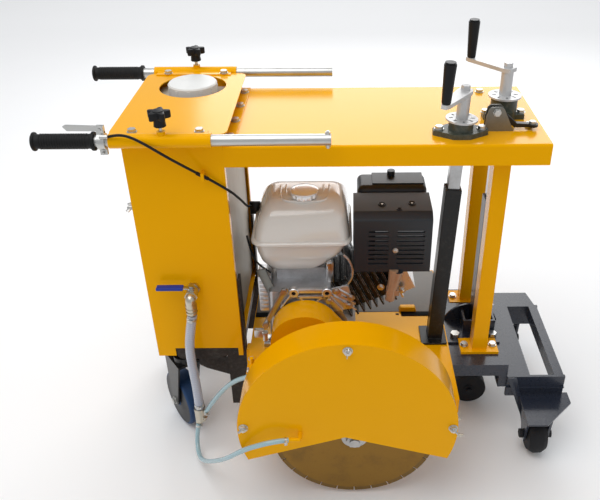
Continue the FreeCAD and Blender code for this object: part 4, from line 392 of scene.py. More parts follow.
# Finishes: colours are linear, and the order of the values is that of the functions above
MAKERS = {
    "yellow": lambda: enamel("Yellow enamel", paints().yellow, 0.17, 0.03, 0.0, 0.15, 0.04,
                             (0.30, 0.20, 0.05), 0.4,
                             (1.0, 0.50, 0.02)),
    "frame": lambda: enamel("Frame enamel", paints().frame_black, 0.28, 0.25, 0.03, 0.20, 0.20, gloss=0.45),
    "black": lambda: enamel("Black enamel", paints().jack_black, 0.34, 0.15, 0.03, 0.20, 0.25, gloss=0.25),
    "brown": lambda: enamel("Brown primer", paints().chassis_brown, 0.50, 0.05, 0.06, 0.20, 0.35, gloss=0.25),
    "cream": lambda: enamel("Tank enamel", paints().tank_cream, 0.16, 0.8, 0.0, 0.0, 0.03),
    "muffler": lambda: enamel("Muffler enamel", (0.020, 0.023, 0.028), 0.36, 0.12, 0.0, 0.10, 0.20,
                              gloss=0.3),
    "zinc": lambda: metal("Zinc plate", (0.62, 0.62, 0.60), (0.30, 0.29, 0.26), 0.34, 420.0, 0.35, 0.12),
    "steel": lambda: metal("Bare steel", (0.50, 0.50, 0.50), (0.22, 0.21, 0.20), 0.30, 300.0, 0.35, 0.10),
    "chrome": lambda: metal("Chrome", (0.93, 0.93, 0.94), (0.7, 0.7, 0.7), 0.22, 200.0, 0.05, 0.02, 0.5,
                            0.04),
    "alloy": lambda: metal("Cast alloy", (0.56, 0.56, 0.57), (0.20, 0.19, 0.18), 0.46, 520.0, 0.45, 0.35),
    "crank": lambda: metal("Crank casting", (0.60, 0.60, 0.60), (0.36, 0.35, 0.33), 0.38, 420.0, 0.35, 0.25,
                           0.4),
    "casting": lambda: enamel("Casting green", paints().casting_green, 0.45, 0.15, 0.12, 0.30, 0.35),
    "lock": lambda: metal("Pressed steel", (0.22, 0.22, 0.20), (0.10, 0.10, 0.09), 0.42, 380.0, 0.4, 0.15,
                          0.8),
    # Painted highlight: a pale bare colour, laid on strongly at the edges, lightens the fins' edges as if
    # they caught the light.
    "fins": lambda: enamel("Black alloy", (0.012, 0.011, 0.010), 0.45, 0.0, 0.0, 2.5, 0.30,
                           (0.62, 0.60, 0.56)),
    "bed": lambda: enamel("Grey bed plate", (0.25, 0.24, 0.225), 0.5, 0.0, 0.1, 0.3, 0.15, gloss=0.3),
    # Painted highlight: pale metal on the fins' rounded edges, standing in for the light they catch.
    "fin_edge_highlight": lambda: metal("Fin edge highlight", (0.42, 0.40, 0.37), (0.12, 0.11, 0.10), 0.40, 300.0, 0.6, 0.2, 0.8),
    # Painted shade: near-black for the insides of holes and gaps, standing in for the shade in them.
    "dark": lambda: moulded("Painted hole shade", (0.003, 0.003, 0.003), (0.006, 0.006, 0.006), 0.8, 400.0, 0.1, 0.1),
    "pipe": lambda: metal("Heat-tinted pipe", (0.46, 0.28, 0.17), (0.22, 0.10, 0.06), 0.42, 120.0, 0.7, 0.2,
                          0.3),
    "bright": lambda: metal("Bright alloy", (0.72, 0.72, 0.73), (0.34, 0.33, 0.32), 0.30, 420.0, 0.35, 0.25,
                            0.9),
    "brass": lambda: metal("Nickelled brass", (0.60, 0.56, 0.47), (0.28, 0.22, 0.12), 0.30, 260.0, 0.45, 0.1),
    "rubber": lambda: moulded("Black rubber", (0.010, 0.010, 0.010), (0.03, 0.03, 0.03), 0.55, 600.0, 0.3,
                              0.3),
    "wheel": lambda: moulded("Roller rubber", (0.014, 0.014, 0.016), (0.05, 0.05, 0.048), 0.6, 420.0, 0.3,
                             0.5),
    "tread": lambda: moulded("Blue tread", paints().tyre_blue, (0.012, 0.02, 0.04), 0.5, 380.0, 0.25, 0.4),
    "plastic": lambda: moulded("Black plastic", (0.010, 0.010, 0.011), (0.02, 0.02, 0.02), 0.38, 800.0, 0.15,
                               0.2),
    "tank": lambda: moulded("Natural tank plastic", (0.50, 0.46, 0.38), (0.36, 0.32, 0.24), 0.42, 500.0, 0.1,
                            0.3),
    "cap": lambda: moulded("White cap plastic", (0.72, 0.72, 0.70), (0.55, 0.55, 0.52), 0.35, 500.0, 0.1,
                           0.3),
    "sleeve": lambda: moulded("Blue vinyl", paints().lever_blue, (0.01, 0.02, 0.12), 0.30, 500.0, 0.1, 0.2),
    "supply": lambda: hose_material("Braided hose", (0.44, 0.47, 0.56), (0.62, 0.64, 0.70)),
    "branch": lambda: hose_material("Clear hose", (0.33, 0.50, 0.55), (0.45, 0.62, 0.66), pitch=0.004),
    "blade": blade_material,
}


@cache
def look(key):
    """The finish of that name, built the first time it is asked for."""
    return MAKERS[key]()


# Mesh helpers
def placed(name, data):
    """A new object in the scene."""
    thing = bpy.data.objects.new(name, data)
    bpy.context.scene.collection.objects.link(thing)
    return thing


def evaluated(thing):
    """The mesh that a curve or a piece with modifiers makes."""
    bpy.context.view_layer.update()
    graph = bpy.context.evaluated_depsgraph_get()
    return bpy.data.meshes.new_from_object(thing.evaluated_get(graph), depsgraph=graph)


def seated(thing, body):
    """Lets a piece ride on its body."""
    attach(thing, body)
    return thing


def shade(mesh, angle=None):
    """Smooth shading that breaks at sharp edges."""
    mesh.shade_smooth()
    mesh.set_sharp_from_angle(angle=edges().smooth if angle is None else angle)


def merged_copy(node):
    """A CAD node's mesh with its loose triangles joined and its flat faces made whole."""
    shape = bmesh.new()
    shape.from_mesh(frame["nodes"][node].data)
    bmesh.ops.remove_doubles(shape, verts=shape.verts, dist=2e-6)
    bmesh.ops.dissolve_limit(shape, angle_limit=math.radians(0.4), verts=shape.verts, edges=shape.edges)
    mesh = bpy.data.meshes.new(node + "_dressed")
    shape.to_mesh(mesh)
    shape.free()
    return mesh


def settle(thing):
    """Turns a piece's modifiers into plain mesh."""
    mesh = evaluated(thing)
    thing.modifiers.clear()
    thing.data = mesh
    return mesh


def flatten_normals(thing):
    """Lets the broad faces keep their flat shading beside rounded edges."""
    weigh = thing.modifiers.new("Normals", "WEIGHTED_NORMAL")
    weigh.keep_sharp = True
    weigh.weight = 50
    settle(thing)


def dress(node, finish, width=None, rim=None):
    """Stands a copy of a CAD node in its place, its edges rounded and in the rim's finish, if any."""
    mesh = merged_copy(node)
    thing = placed(node + "_dressed", mesh)
    mesh.materials.append(look(finish))
    if width:
        bevel = thing.modifiers.new("Edges", "BEVEL")
        bevel.width = width
        bevel.segments = 2
        bevel.limit_method = "ANGLE"
        bevel.angle_limit = math.radians(38)
        bevel.use_clamp_overlap = True
        bevel.harden_normals = False
        if rim:
            mesh.materials.append(look(rim))
            bevel.material = 1
        settle(thing)
    shade(thing.data)
    if width:
        flatten_normals(thing)
    seated(thing, HOME_OF[node])
    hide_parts(node)
    return thing


# Geometry node trees
def geometry_tree(name, inputs):
    """An empty tree that takes one geometry and its settings."""
    return group_tree(name, "GeometryNodeTree", (("Geometry", "Geometry"), *inputs),
                      (("Geometry", "Geometry"),))


def end_tree(tree, enter, leave, copies):
    """Makes the copies real, paints them and hands them on."""
    real = plug(tree, "GeometryNodeRealizeInstances", {"Geometry": copies})
    paint = plug(tree, "GeometryNodeSetMaterial",
                 {"Geometry": real.outputs["Geometry"], "Material": enter.outputs["Material"]})
    feed(tree, leave, {"Geometry": paint.outputs["Geometry"]})
    return tree


def build_with(thing, tree, **values):
    """Sets a tree with its values on a piece."""
    modifier = thing.modifiers.new("Build", "NODES")
    modifier.node_group = tree
    for item in tree.interface.items_tree:
        if item.item_type == "SOCKET" and item.in_out == "INPUT" and item.name in values:
            modifier[item.identifier] = values[item.name]


def captured(tree, curve, label, field):
    """A curve that keeps a field of its own as a named value."""
    keep = plug(tree, "GeometryNodeCaptureAttribute", domain="POINT")
    keep.capture_items.new("FLOAT", label)
    return feed(tree, keep, {"Geometry": curve, label: field}).outputs


@cache
def tube_tree():
    """A tube along a curve, with a UV map that runs along it."""
    tree, enter, leave = geometry_tree("Saw tube", (
        ("Radius", "Float", 0.01), ("Step", "Float", 0.004), ("Sides", "Int", 24), ("Material", "Material")))
    given = enter.outputs
    even = plug(tree, "GeometryNodeResampleCurve", {"Curve": given["Geometry"], "Length": given["Step"]},
                mode="LENGTH")
    sized = plug(tree, "GeometryNodeSetCurveRadius", {"Curve": even.outputs["Curve"], "Radius": 1.0})
    spine = captured(tree, sized.outputs["Curve"], "Along",
                     plug(tree, "GeometryNodeSplineParameter").outputs["Length"])
    circle = plug(tree, "GeometryNodeCurvePrimitiveCircle",
                  {"Resolution": given["Sides"], "Radius": given["Radius"]})
    ring = captured(tree, circle.outputs["Curve"], "Around",
                    plug(tree, "GeometryNodeSplineParameter").outputs["Factor"])
    sweep = plug(tree, "GeometryNodeCurveToMesh",
                 {"Fill Caps": True, "Curve": spine["Geometry"], "Profile Curve": ring["Geometry"]})
    if "Scale" in sweep.inputs:
        sweep.inputs["Scale"].default_value = 1.0
    join = plug(tree, "ShaderNodeCombineXYZ", {"X": ring["Around"], "Y": spine["Along"]})
    store = plug(tree, "GeometryNodeStoreNamedAttribute", data_type="FLOAT2", domain="CORNER")
    feed(tree, store, {"Name": "Along", "Geometry": sweep.outputs["Mesh"], "Value": join.outputs["Vector"]})
    smooth = plug(tree, "GeometryNodeSetShadeSmooth", {"Geometry": store.outputs["Geometry"]})
    return end_tree(tree, enter, leave, smooth.outputs["Geometry"])


def bent(name, points, fineness):
    """A smooth spline that the points, given in metres, pull on."""
    curve = bpy.data.curves.new(name, "CURVE")
    curve.dimensions = "3D"
    curve.resolution_u = fineness
    spline = curve.splines.new("NURBS")
    spline.points.add(len(points) - 1)
    for knot, place in zip(spline.points, points):
        knot.co = (*place, 1.0)
    spline.order_u = min(3, len(points))
    spline.use_endpoint_u = True
    return curve


def middle_line(thing):
    """The points that a bare route passes through."""
    mesh = evaluated(thing)
    places = [tuple(v.co) for v in mesh.vertices]
    bpy.data.meshes.remove(mesh)
    return places


def tube(name, points, diameter, finish):
    """A tube mesh along a route. Returns the piece and the line it follows."""
    guide = placed(name + "_route", bent(name + "_route", points, 10))
    line = middle_line(guide)
    build_with(guide, tube_tree(), Radius=diameter / 2, Step=TUBE_STEP, Sides=hoses().sides,
               Material=look(finish))
    mesh = evaluated(guide)
    mesh.name = name
    bpy.data.objects.remove(guide)
    return placed(name, mesh), line


# Shapes
class Form:
    """Mesh of one piece while it is put together. Its sizes are in millimetres."""

    def __init__(self):
        self.mesh = bmesh.new()

    def add(self, shape, frame_of):
        """Takes over another bmesh, scaled to metres and set in its frame."""
        bmesh.ops.transform(shape, matrix=frame_of @ Matrix.Scale(0.001, 4), verts=shape.verts)
        made = bpy.data.meshes.new("part")
        bmesh.ops.recalc_face_normals(shape, faces=shape.faces)
        shape.to_mesh(made)
        shape.free()
        self.mesh.from_mesh(made)
        bpy.data.meshes.remove(made)
        return self

    def lathe(self, profile, frame_of, sides=40):
        """A turned shape from (radius, height) pairs, closed at both ends."""
        shape = bmesh.new()
        rings = []
        for radius, height in profile:
            if radius <= 0:
                rings.append([shape.verts.new((0, 0, height))])
            else:
                rings.append([shape.verts.new((radius * math.cos(math.tau * n / sides),
                                               radius * math.sin(math.tau * n / sides), height))
                              for n in range(sides)])
        for low, high in zip(rings, rings[1:]):
            for n in range(sides):
                m = (n + 1) % sides
                corners = [low[n % len(low)], low[m % len(low)], high[m % len(high)], high[n % len(high)]]
                corners = [v for i, v in enumerate(corners) if v not in corners[:i]]
                if len(corners) > 2:
                    shape.faces.new(corners)
        for ring in (rings[0], rings[-1]):
            if len(ring) > 2:
                shape.faces.new(ring)
        return self.add(shape, frame_of)

    def disc(self, radius, low, high, frame_of, sides=40):
        """A plain cylinder, or a prism with few sides."""
        return self.lathe(((0, low), (radius, low), (radius, high), (0, high)), frame_of, sides)

    def wing_nut(self, profile, frame_of, wing, edge, reach, lift):
        """A turned middle with two leaning wings. Reach and lift are in metres."""
        self.lathe(profile, frame_of, 20)
        for side in (-1, 1):
            self.block(wing, frame_of @ Matrix.Translation((side * reach, 0, lift))
                       @ Matrix.Rotation(side * -0.5, 4, "Y"), edge)
        return self

    def hoop(self, profile, frame_of, sides=48):
        """A ring of revolution from a closed (radius, height) outline."""
        shape = bmesh.new()
        rings = [[shape.verts.new((r * math.cos(math.tau * n / sides), r * math.sin(math.tau * n / sides), h))
                  for n in range(sides)] for r, h in profile]
        for k, low in enumerate(rings):
            high = rings[(k + 1) % len(rings)]
            for n in range(sides):
                m = (n + 1) % sides
                shape.faces.new((low[n], low[m], high[m], high[n]))
        return self.add(shape, frame_of)

    def block(self, size, frame_of, edge=0.0, segments=2, taper=1.0):
        """A block centred on its frame's XY with its foot at z 0; taper narrows its top."""
        shape = bmesh.new()
        bmesh.ops.create_cube(shape, size=1.0)
        for v in shape.verts:
            share = taper if v.co.z > 0 else 1.0
            v.co = Vector((v.co.x * size[0] * share, v.co.y * size[1] * share, (v.co.z + 0.5) * size[2]))
        if edge:
            bmesh.ops.bevel(shape, geom=list(shape.edges), offset=edge, segments=segments, profile=0.5,
                            affect="EDGES", clamp_overlap=True)
        return self.add(shape, frame_of)

    def plate(self, outline, thick, frame_of, edge=0.0):
        """A flat plate from an outline in its frame's XY, thick along Z."""
        shape = bmesh.new()
        ring = [shape.verts.new((x, y, 0)) for x, y in outline]
        borders = [shape.edges.new((ring[n], ring[(n + 1) % len(ring)])) for n in range(len(ring))]
        bmesh.ops.triangle_fill(shape, use_beauty=True, use_dissolve=True, edges=borders)
        whole = bmesh.ops.extrude_face_region(shape, geom=list(shape.faces))
        bmesh.ops.translate(shape, vec=(0, 0, thick), verts=[v for v in whole["geom"]
                                                             if isinstance(v, bmesh.types.BMVert)])
        bmesh.ops.recalc_face_normals(shape, faces=shape.faces)
        if edge:
            sharp = [e for e in shape.edges if len(e.link_faces) == 2 and e.calc_face_angle(0) > 0.7]
            bmesh.ops.bevel(shape, geom=sharp, offset=edge, segments=2, profile=0.5, affect="EDGES",
                            clamp_overlap=True)
        return self.add(shape, frame_of)

    def loft(self, sections, frame_of, corner=6):
        """A closed body through rounded rectangles: height, both X, both Y and corner radius."""
        shape = bmesh.new()
        rings = []
        for height, left, right, near, far, r in sections:
            ring = []
            for x, y, start in ((right - r, far - r, 0), (left + r, far - r, 90), (left + r, near + r, 180),
                                (right - r, near + r, 270)):
                ring += [shape.verts.new((*place, height))
                         for place in arc_of(r, start, start + 90, corner, x, y)]
            rings.append(ring)
        for low, high in zip(rings, rings[1:]):
            for n in range(len(low)):
                m = (n + 1) % len(low)
                shape.faces.new((low[n], low[m], high[m], high[n]))
        shape.faces.new(rings[0])
        shape.faces.new(rings[-1])
        return self.add(shape, frame_of)

    def strip(self, first, last, wide, thick):
        """A flat bar between two places given in millimetres."""
        way = Vector(last) - Vector(first)
        return self.block((wide, thick, way.length), facing(spot(*first), way.normalized()),
                          min(wide, thick) * 0.2)

    def rod(self, points, radius, sides=12):
        """A round rod bent through points given in metres."""
        curve = bent("rod", points, 6)
        curve.bevel_depth = radius / 1000
        curve.bevel_resolution = max(1, sides // 4)
        curve.use_fill_caps = True
        thing = placed("rod", curve)
        mesh = evaluated(thing)
        self.mesh.from_mesh(mesh)
        bpy.data.objects.remove(thing)
        bpy.data.meshes.remove(mesh)
        return self

    def piece(self, name, finish, body, slot=None, angle=None):
        """The finished piece, on its body."""
        bmesh.ops.remove_doubles(self.mesh, verts=self.mesh.verts, dist=1e-7)
        bmesh.ops.recalc_face_normals(self.mesh, faces=self.mesh.faces)
        mesh = bpy.data.meshes.new(name)
        self.mesh.to_mesh(mesh)
        self.mesh.free()
        shade(mesh, angle)
        mesh.materials.append(look(finish))
        return seated(placed(name, mesh), body)


def repaint(thing, finish, test):
    """Gives the faces whose middle passes the test another finish."""
    mesh = thing.data
    mesh.materials.append(look(finish))
    index = len(mesh.materials) - 1
    for face in mesh.polygons:
        if test(face.center, face.normal):
            face.material_index = index


def lobed(mean, wave, lobes, count, first=0.0):
    """A round outline whose radius waves, with its first lobe at an angle in degrees."""
    turns = [math.tau * n / count for n in range(count)]
    reach = [mean + wave * math.cos(lobes * (turn - math.radians(first))) for turn in turns]
    return [(r * math.cos(turn), r * math.sin(turn)) for r, turn in zip(reach, turns)]


def arc_of(radius, first, last, count, x=0.0, y=0.0):
    """Points on an arc, angles in degrees."""
    return [(x + radius * math.cos(math.radians(first + (last - first) * n / count)),
             y + radius * math.sin(math.radians(first + (last - first) * n / count)))
            for n in range(count + 1)]


# Repeats
@cache
def bolts_tree():
    """Hexagon screws with washers at every point of the piece it runs on."""
    tree, enter, leave = geometry_tree("Saw bolts", (
        ("Head", "Float", 0.007), ("High", "Float", 0.005), ("Washer", "Float", 0.010),
        ("Turn", "Vector", (0, 0, 0)), ("Material", "Material")))
    given = enter.outputs
    thick, crown_high = 0.0016, 0.0008
    washer = plug(tree, "GeometryNodeMeshCylinder",
                  {"Vertices": 24, "Depth": thick, "Radius": given["Washer"]})
    head = plug(tree, "GeometryNodeMeshCylinder",
                {"Vertices": 6, "Radius": given["Head"], "Depth": given["High"]})
    crown = plug(tree, "GeometryNodeMeshCone", {
        "Vertices": 24, "Radius Top": times(tree, given["Head"], 0.55),
        "Radius Bottom": times(tree, given["Head"], 0.80), "Depth": crown_high})
    join = plug(tree, "GeometryNodeJoinGeometry")
    for source, height in ((washer, thick / 2), (head, times(tree, given["High"], 0.5)),
                           (crown, given["High"])):
        offset = plug(tree, "ShaderNodeCombineXYZ", {"Z": height})
        move = plug(tree, "GeometryNodeTransform",
                    {"Geometry": source.outputs["Mesh"], "Translation": offset.outputs["Vector"]})
        feed(tree, join, {"Geometry": move.outputs["Geometry"]})
    turn = plug(tree, "FunctionNodeEulerToRotation", {"Euler": given["Turn"]})
    spread = plug(tree, "GeometryNodeInstanceOnPoints", {
        "Points": given["Geometry"], "Instance": join.outputs["Geometry"],
        "Rotation": turn.outputs["Rotation"]})
    return end_tree(tree, enter, leave, spread.outputs["Instances"])


def bolts(name, places, way, body, head=6.5, high=4.5, washer=9.5):
    """Zinc screws seated at places, their heads standing out along way."""
    mesh = bpy.data.meshes.new(name)
    mesh.from_pydata([tuple(p) for p in places], [], [])
    turn = Vector((0, 0, 1)).rotation_difference(Vector(way)).to_euler()
    thing = placed(name, mesh)
    build_with(thing, bolts_tree(), Head=head / 1000, High=high / 1000, Washer=washer / 1000,
               Turn=tuple(turn), Material=look("zinc"))
    settle(thing)
    return settled(thing, body)


def settled(thing, body):
    """Shades a grown piece and seats it on its body."""
    shape = bmesh.new()
    shape.from_mesh(thing.data)
    bmesh.ops.recalc_face_normals(shape, faces=shape.faces)
    shape.to_mesh(thing.data)
    shape.free()
    shade(thing.data)
    return seated(thing, body)


@cache
def row_tree():
    """Copies of a piece along a line."""
    tree, enter, leave = geometry_tree("Saw row", (
        ("Count", "Int", 8), ("Step", "Vector", (0, 0, 0)), ("Material", "Material")))
    given = enter.outputs
    line = plug(tree, "GeometryNodeMeshLine", {"Count": given["Count"], "Offset": given["Step"]},
                mode="OFFSET")
    spread = plug(tree, "GeometryNodeInstanceOnPoints",
                  {"Points": line.outputs["Mesh"], "Instance": given["Geometry"]})
    return end_tree(tree, enter, leave, spread.outputs["Instances"])


def repeated(name, form, frame_of, finish, body, count, step):
    """A row of one form, set in its frame. The step is in millimetres."""
    mesh = bpy.data.meshes.new(name)
    form.mesh.to_mesh(mesh)
    form.mesh.free()
    thing = placed(name, mesh)
    build_with(thing, row_tree(), Count=count, Step=tuple(c / 1000 for c in step), Material=look(finish))
    settle(thing)
    thing.data.transform(frame_of)
    return settled(thing, body)


# The stage
FLOOR_REACH = 9.0
FLOOR_DROP = 0.0004  # keeps the floor clear of the wheels' lowest faces
CAMERA_PLACE = (0.018, -1.510, 1.505)
CAMERA_SHIFT = -0.0667  # the saw stands a little right of the middle of the view


class SAW_OT_stage(bpy.types.Operator):
    """Sets up the floor, the lights and the camera"""
    bl_idname = "saw.stage"
    bl_label = "Stage"

    def execute(self, context):
        stage = context.scene.saw_stage
        mesh = bpy.data.meshes.new("floor")
        mesh.from_pydata([(x * FLOOR_REACH, y * FLOOR_REACH, -FLOOR_DROP) for x, y in
                          ((-1, -1), (1, -1), (1, 1), (-1, 1))], [], [(0, 1, 2, 3)])
        mat, tree, shader, vector = begin_material("Floor")
        cloud = times(tree, noise(tree, vector, 3.0, 4.0), 0.08)
        feed(tree, shader, {"Base Color": blend_colour(tree, cloud, tuple(stage.floor), (0.74, 0.74, 0.73)),
                            "Roughness": 0.75})
        mesh.materials.append(mat)
        placed("floor", mesh)
        world = bpy.data.worlds.new("Studio")
        context.scene.world = world
        world.use_nodes = True
        back = world.node_tree.nodes["Background"]
        back.inputs["Color"].default_value = (0.93, 0.95, 0.98, 1)
        back.inputs["Strength"].default_value = 0.55
        for name, power, size, place, aim in (
                ("key", stage.key, (3.0, 2.6), (-0.9, -0.7, 3.6), (0.0, 0.0, 0.5)),
                ("fill", stage.fill, (2.4, 2.4), (1.9, -2.6, 1.9), (0.1, 0.0, 0.5)),
                ("rim", stage.key * 0.76, (2.7, 2.0), (0.42, 2.9, 2.25), (0.42, 0.0, 0.8)),
                ("wash", stage.key * 1.6, (8.0, 3.6), (0.0, 4.6, 3.4), (0.0, 4.6, 0.0))):
            data = bpy.data.lights.new(name, "AREA")
            data.shape = "RECTANGLE"
            data.size, data.size_y = size
            data.energy = power
            lamp = placed(name, data)
            lamp.visible_glossy = name != "wash"
            way = Vector(aim) - Vector(place)
            lamp.matrix_world = Matrix.Translation(place) @ way.to_track_quat("-Z", "Y").to_matrix().to_4x4()
        data = bpy.data.cameras.new("camera")
        data.lens = stage.lens
        data.sensor_width = 36.0
        data.shift_x = CAMERA_SHIFT
        camera = placed("camera", data)
        camera.matrix_world = (Matrix.Translation(CAMERA_PLACE)
                               @ Matrix.Rotation(math.radians(90) - stage.tilt, 4, "X")
                               @ Matrix.Rotation(stage.roll, 4, "Z"))
        context.scene.camera = camera
        context.scene.view_settings.view_transform = "Standard"
        context.scene.view_settings.look = "None"
        return {"FINISHED"}


class SAW_OT_hoses(bpy.types.Operator):
    """Hangs the water hoses and their clamps"""
    bl_idname = "saw.hoses"
    bl_label = "Water hoses"

    def execute(self, context):
        sizes = hoses()
        routes = {
            "supply_hose": [(-363.3, -237, 447), (-372, -237, 408), (-383, -237, 345), (-382, -237, 272),
                            (-379, -237, 198), (-380, -237, 136.5)],
            "guard_hose_back": [(-362.6, -247.4, 127.8), (-350, -256, 154), (-325, -273, 203),
                                (-294, -293, 257), (-258, -316, 306), (-215.5, -349.5, 348),
                                (-209.8, -354.8, 374)],
            "guard_hose_front": [(-387, -245.5, 85.3), (-393, -251, 55), (-392, -273, 26), (-380, -309, 22),
                                 (-357, -345, 48), (-323, -389, 98), (-278, -438, 163), (-229, -468, 227),
                                 (-184, -481, 258), (-149, -479, 266), (-122.5, -472.5, 263)],
        }
        splitter = dress("hose_splitter", "brass", 0.0008)
        for name, points in routes.items():
            thick = sizes.supply if name == "supply_hose" else sizes.branch
            finish = "supply" if name == "supply_hose" else "branch"
            hose, line = tube(name + "_tube", [spot(*p) for p in points], thick, finish)
            if name == "supply_hose":
                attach(hose, "chassis")
            else:
                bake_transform(hose)
            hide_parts(name)
            ends = ((0, "chassis"), (-1, "chassis" if name == "supply_hose" else "deck"))
            for index, body in ends:
                step = 1 if index == 0 else -1
                way = (Vector(line[index + 2 * step]) - Vector(line[index])).normalized()
                seat = Vector(line[index]) + way * (0.010 if thick > 0.02 else 0.007)
                self.clamp(f"{name}_clamp_{'upper' if index == 0 else 'lower'}", seat, way, thick * 500, body)
        return {"FINISHED"}

    @staticmethod
    def clamp(name, seat, way, radius, body):
        """A worm-drive band with its screw housing"""
        wide = 8.0 if radius > 10 else 6.0
        frame_of = facing(seat, way)
        form = Form().hoop(((radius - 0.4, -wide / 2), (radius + 0.9, -wide / 2), (radius + 0.9, wide / 2),
                            (radius - 0.4, wide / 2)), frame_of, 32)
        form.block((9, 6, wide + 1),
                   frame_of @ Matrix.Translation((0, -(radius + 2.6) / 1000, -(wide + 1) / 2000)), 1.0)
        screw = frame_of @ Matrix.Translation((0.0045, -(radius + 2.8) / 1000, 0))
        form.lathe(((0, 0), (3, 0), (3, 3.5), (2.2, 4.2), (0, 4.2)),
                   screw @ Matrix.Rotation(math.pi / 2, 4, "Y"), 12)
        form.piece(name, "zinc", body, "zinc_steel")


class SAW_OT_cables(bpy.types.Operator):
    """Lays the throttle cable from the lever to the engine"""
    bl_idname = "saw.cables"
    bl_label = "Throttle cable"

    def execute(self, context):
        routes = {
            "throttle_cable_rear": [(-483.8, -240, 918), (-464, -243, 924), (-437, -247, 921),
                                    (-406, -248, 903), (-372, -244, 876), (-340, -228, 845),
                                    (-311.5, -208, 815)],
            "throttle_cable_front": [(-296.5, -201, 802), (-279, -200, 790), (-246, -194, 763),
                                     (-239, -160, 733), (-237, -105, 692), (-236, -50, 650),
                                     (-234, -14, 626), (-233, 6.5, 618)],
        }
        for name, points in routes.items():
            cable, line = tube(name + "_sheath", [spot(*p) for p in points], hoses().cable, "rubber")
            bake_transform(cable)
            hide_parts(name)
        Form().rod([spot(-315, -210.5, 818), spot(-304, -204.5, 808), spot(-293, -200.5, 799.5)], 4.2).piece(
            "cable_guide", "rubber", "chassis", "black_rubber")
        return {"FINISHED"}


# Sheet metal
class SAW_OT_sheet_metal(bpy.types.Operator):
    """Dresses the yellow sheet metal"""
    bl_idname = "saw.sheet_metal"
    bl_label = "Table, tank housing, deck and guard"

    def execute(self, context):
        for node in ("table", "tank_housing", "tank_cover", "deck", "belt_cover", "guard_shell",
                     "guard_front", "front_posts"):
            dress(node, "yellow", edges().sheet)
        # Painted shade: near-black strips on the deck for the shaded gap in front of the bed plate and for a
        # small slot.
        gap_shades = Form()
        gap_shades.block((114, 19, 1.6), facing(spot(228, -30, DECK_TOP)), 0.3)
        gap_shades.block((48, 20, 1.6), facing(spot(-214, -30, DECK_TOP)), 0.3)
        gap_shades.block((9, 7, 0.5), facing(spot(160, -30, DECK_TOP)), 0.1)
        gap_shades.piece("deck_gap_shade", "dark", "deck", "black_paint")
        Form().block((522, 204, 1.2), facing(spot(23, 83, DECK_TOP)), 0.3).piece(
            "bed_plate", "bed", "deck", "zinc_steel")
        Form().block((50, 22, 12), facing(spot(190, -9, 287)), 1.5, 2, 0.8).piece(
            "bed_stop", "yellow", "deck", SLOT_OF["deck"])
        top = spot(0, 0, 875.8).z
        repaint(bpy.data.objects["table_dressed"], "zinc", lambda middle, way: middle.z > top)
        self.guard_fittings()
        self.belt_adjuster()
        return {"FINISHED"}

    @staticmethod
    def guard_fittings():
        """Wing nuts on the guard's front plate and the two studs of its rim"""
        form = Form()
        for x, z, turn in ((15, 512, 80), (-227, 283, 25), (260, 277, -35)):
            form.wing_nut(((0, 0), (7, 0), (7, 1), (5.5, 2), (5, 9), (3.4, 10), (3.4, 13), (0, 13)),
                          facing(spot(x, -453, z), NEAR, turn), (12, 2.6, 8), 1.1, 0.009, 0.005)
        form.piece("guard_wing_nuts", "zinc", "deck", "zinc_steel")
        latch = Form().wing_nut(((0, 0), (8, 0), (8, 1), (6, 2), (5.5, 10), (3.4, 11), (3.4, 15), (0, 15)),
                                facing(spot(-478, -178, 716), (-1, 0, 0), 70), (13, 3, 9), 1.2, 0.010, 0.006)
        latch.piece("housing_wing_nut", "zinc", "chassis", "zinc_steel")
        form = Form()
        form.lathe(((0, 0), (3, 0), (3, 15), (2.4, 16), (0, 16)), facing(spot(262, -440, 295), (1, 0, 0)), 16)
        form.lathe(((0, 0), (3, 0), (3, 10), (5, 10), (5, 18), (3, 18), (3, 26), (0, 26)),
                   facing(spot(262, -440, 241), (1, 0, 0)), 16)
        form.piece("guard_studs", "brass", "deck", "zinc_steel")

    @staticmethod
    def belt_adjuster():
        """Tensioning block beside the belt cover"""
        form = Form()
        form.block((24, 12, 22), facing(spot(-199, -262, 399)), 2)
        form.rod([spot(-184, -268, 392), spot(-184, -268, 414)], 6)
        form.disc(8, 0, 5, facing(spot(-184, -268, 412)), 6)
        form.rod([spot(-212, -340, 374), spot(-212, -340, 398)], 3.5)
        form.disc(7, 0, 5, facing(spot(-212, -340, 392)), 6)
        form.piece("belt_adjuster", "zinc", "deck", "zinc_steel")


class SAW_OT_frame(bpy.types.Operator):
    """Dresses the front base, the guide frame, the brackets and the rear chassis"""
    bl_idname = "saw.frame"
    bl_label = "Chassis frame"

    def execute(self, context):
        for node, finish in (("front_base", "frame"), ("guide_frame", "frame"), ("jack_bracket", "frame"),
                             ("rear_chassis", "brown"), ("front_carriage", "black"),
                             ("jack_inner_tubes", "steel"), ("jack_1_outer_tube", "black"),
                             ("handle_sockets", "yellow")):
            dress(node, finish, edges().sheet)
        gusset = ((-380, 252), (-264, 252), (-264, 192), (-284, 190), (-300, 190), (-362, 214), (-380, 226))
        Form().plate(gusset, 5, facing(spot(0, -163, 0), NEAR), 0.8).piece(
            "rear_gusset", "brown", "chassis", SLOT_OF["rear_chassis"])
        leg = ((444, 206), (470, 206), (488, 140), (519, 52), (516, 34), (504, 34), (496, 70), (470, 140))
        Form().plate(leg, 5, facing(spot(0, -205, 0), NEAR), 0.8).piece(
            "roller_leg", "frame", "chassis", SLOT_OF["guide_frame"])
        return {"FINISHED"}


class SAW_OT_tank(bpy.types.Operator):
    """Dresses the water tank and its cap"""
    bl_idname = "saw.tank"
    bl_label = "Water tank"

    def execute(self, context):
        dress("water_tank", "tank", 0.001)
        dress("water_cap", "cap", 0.0012)
        return {"FINISHED"}


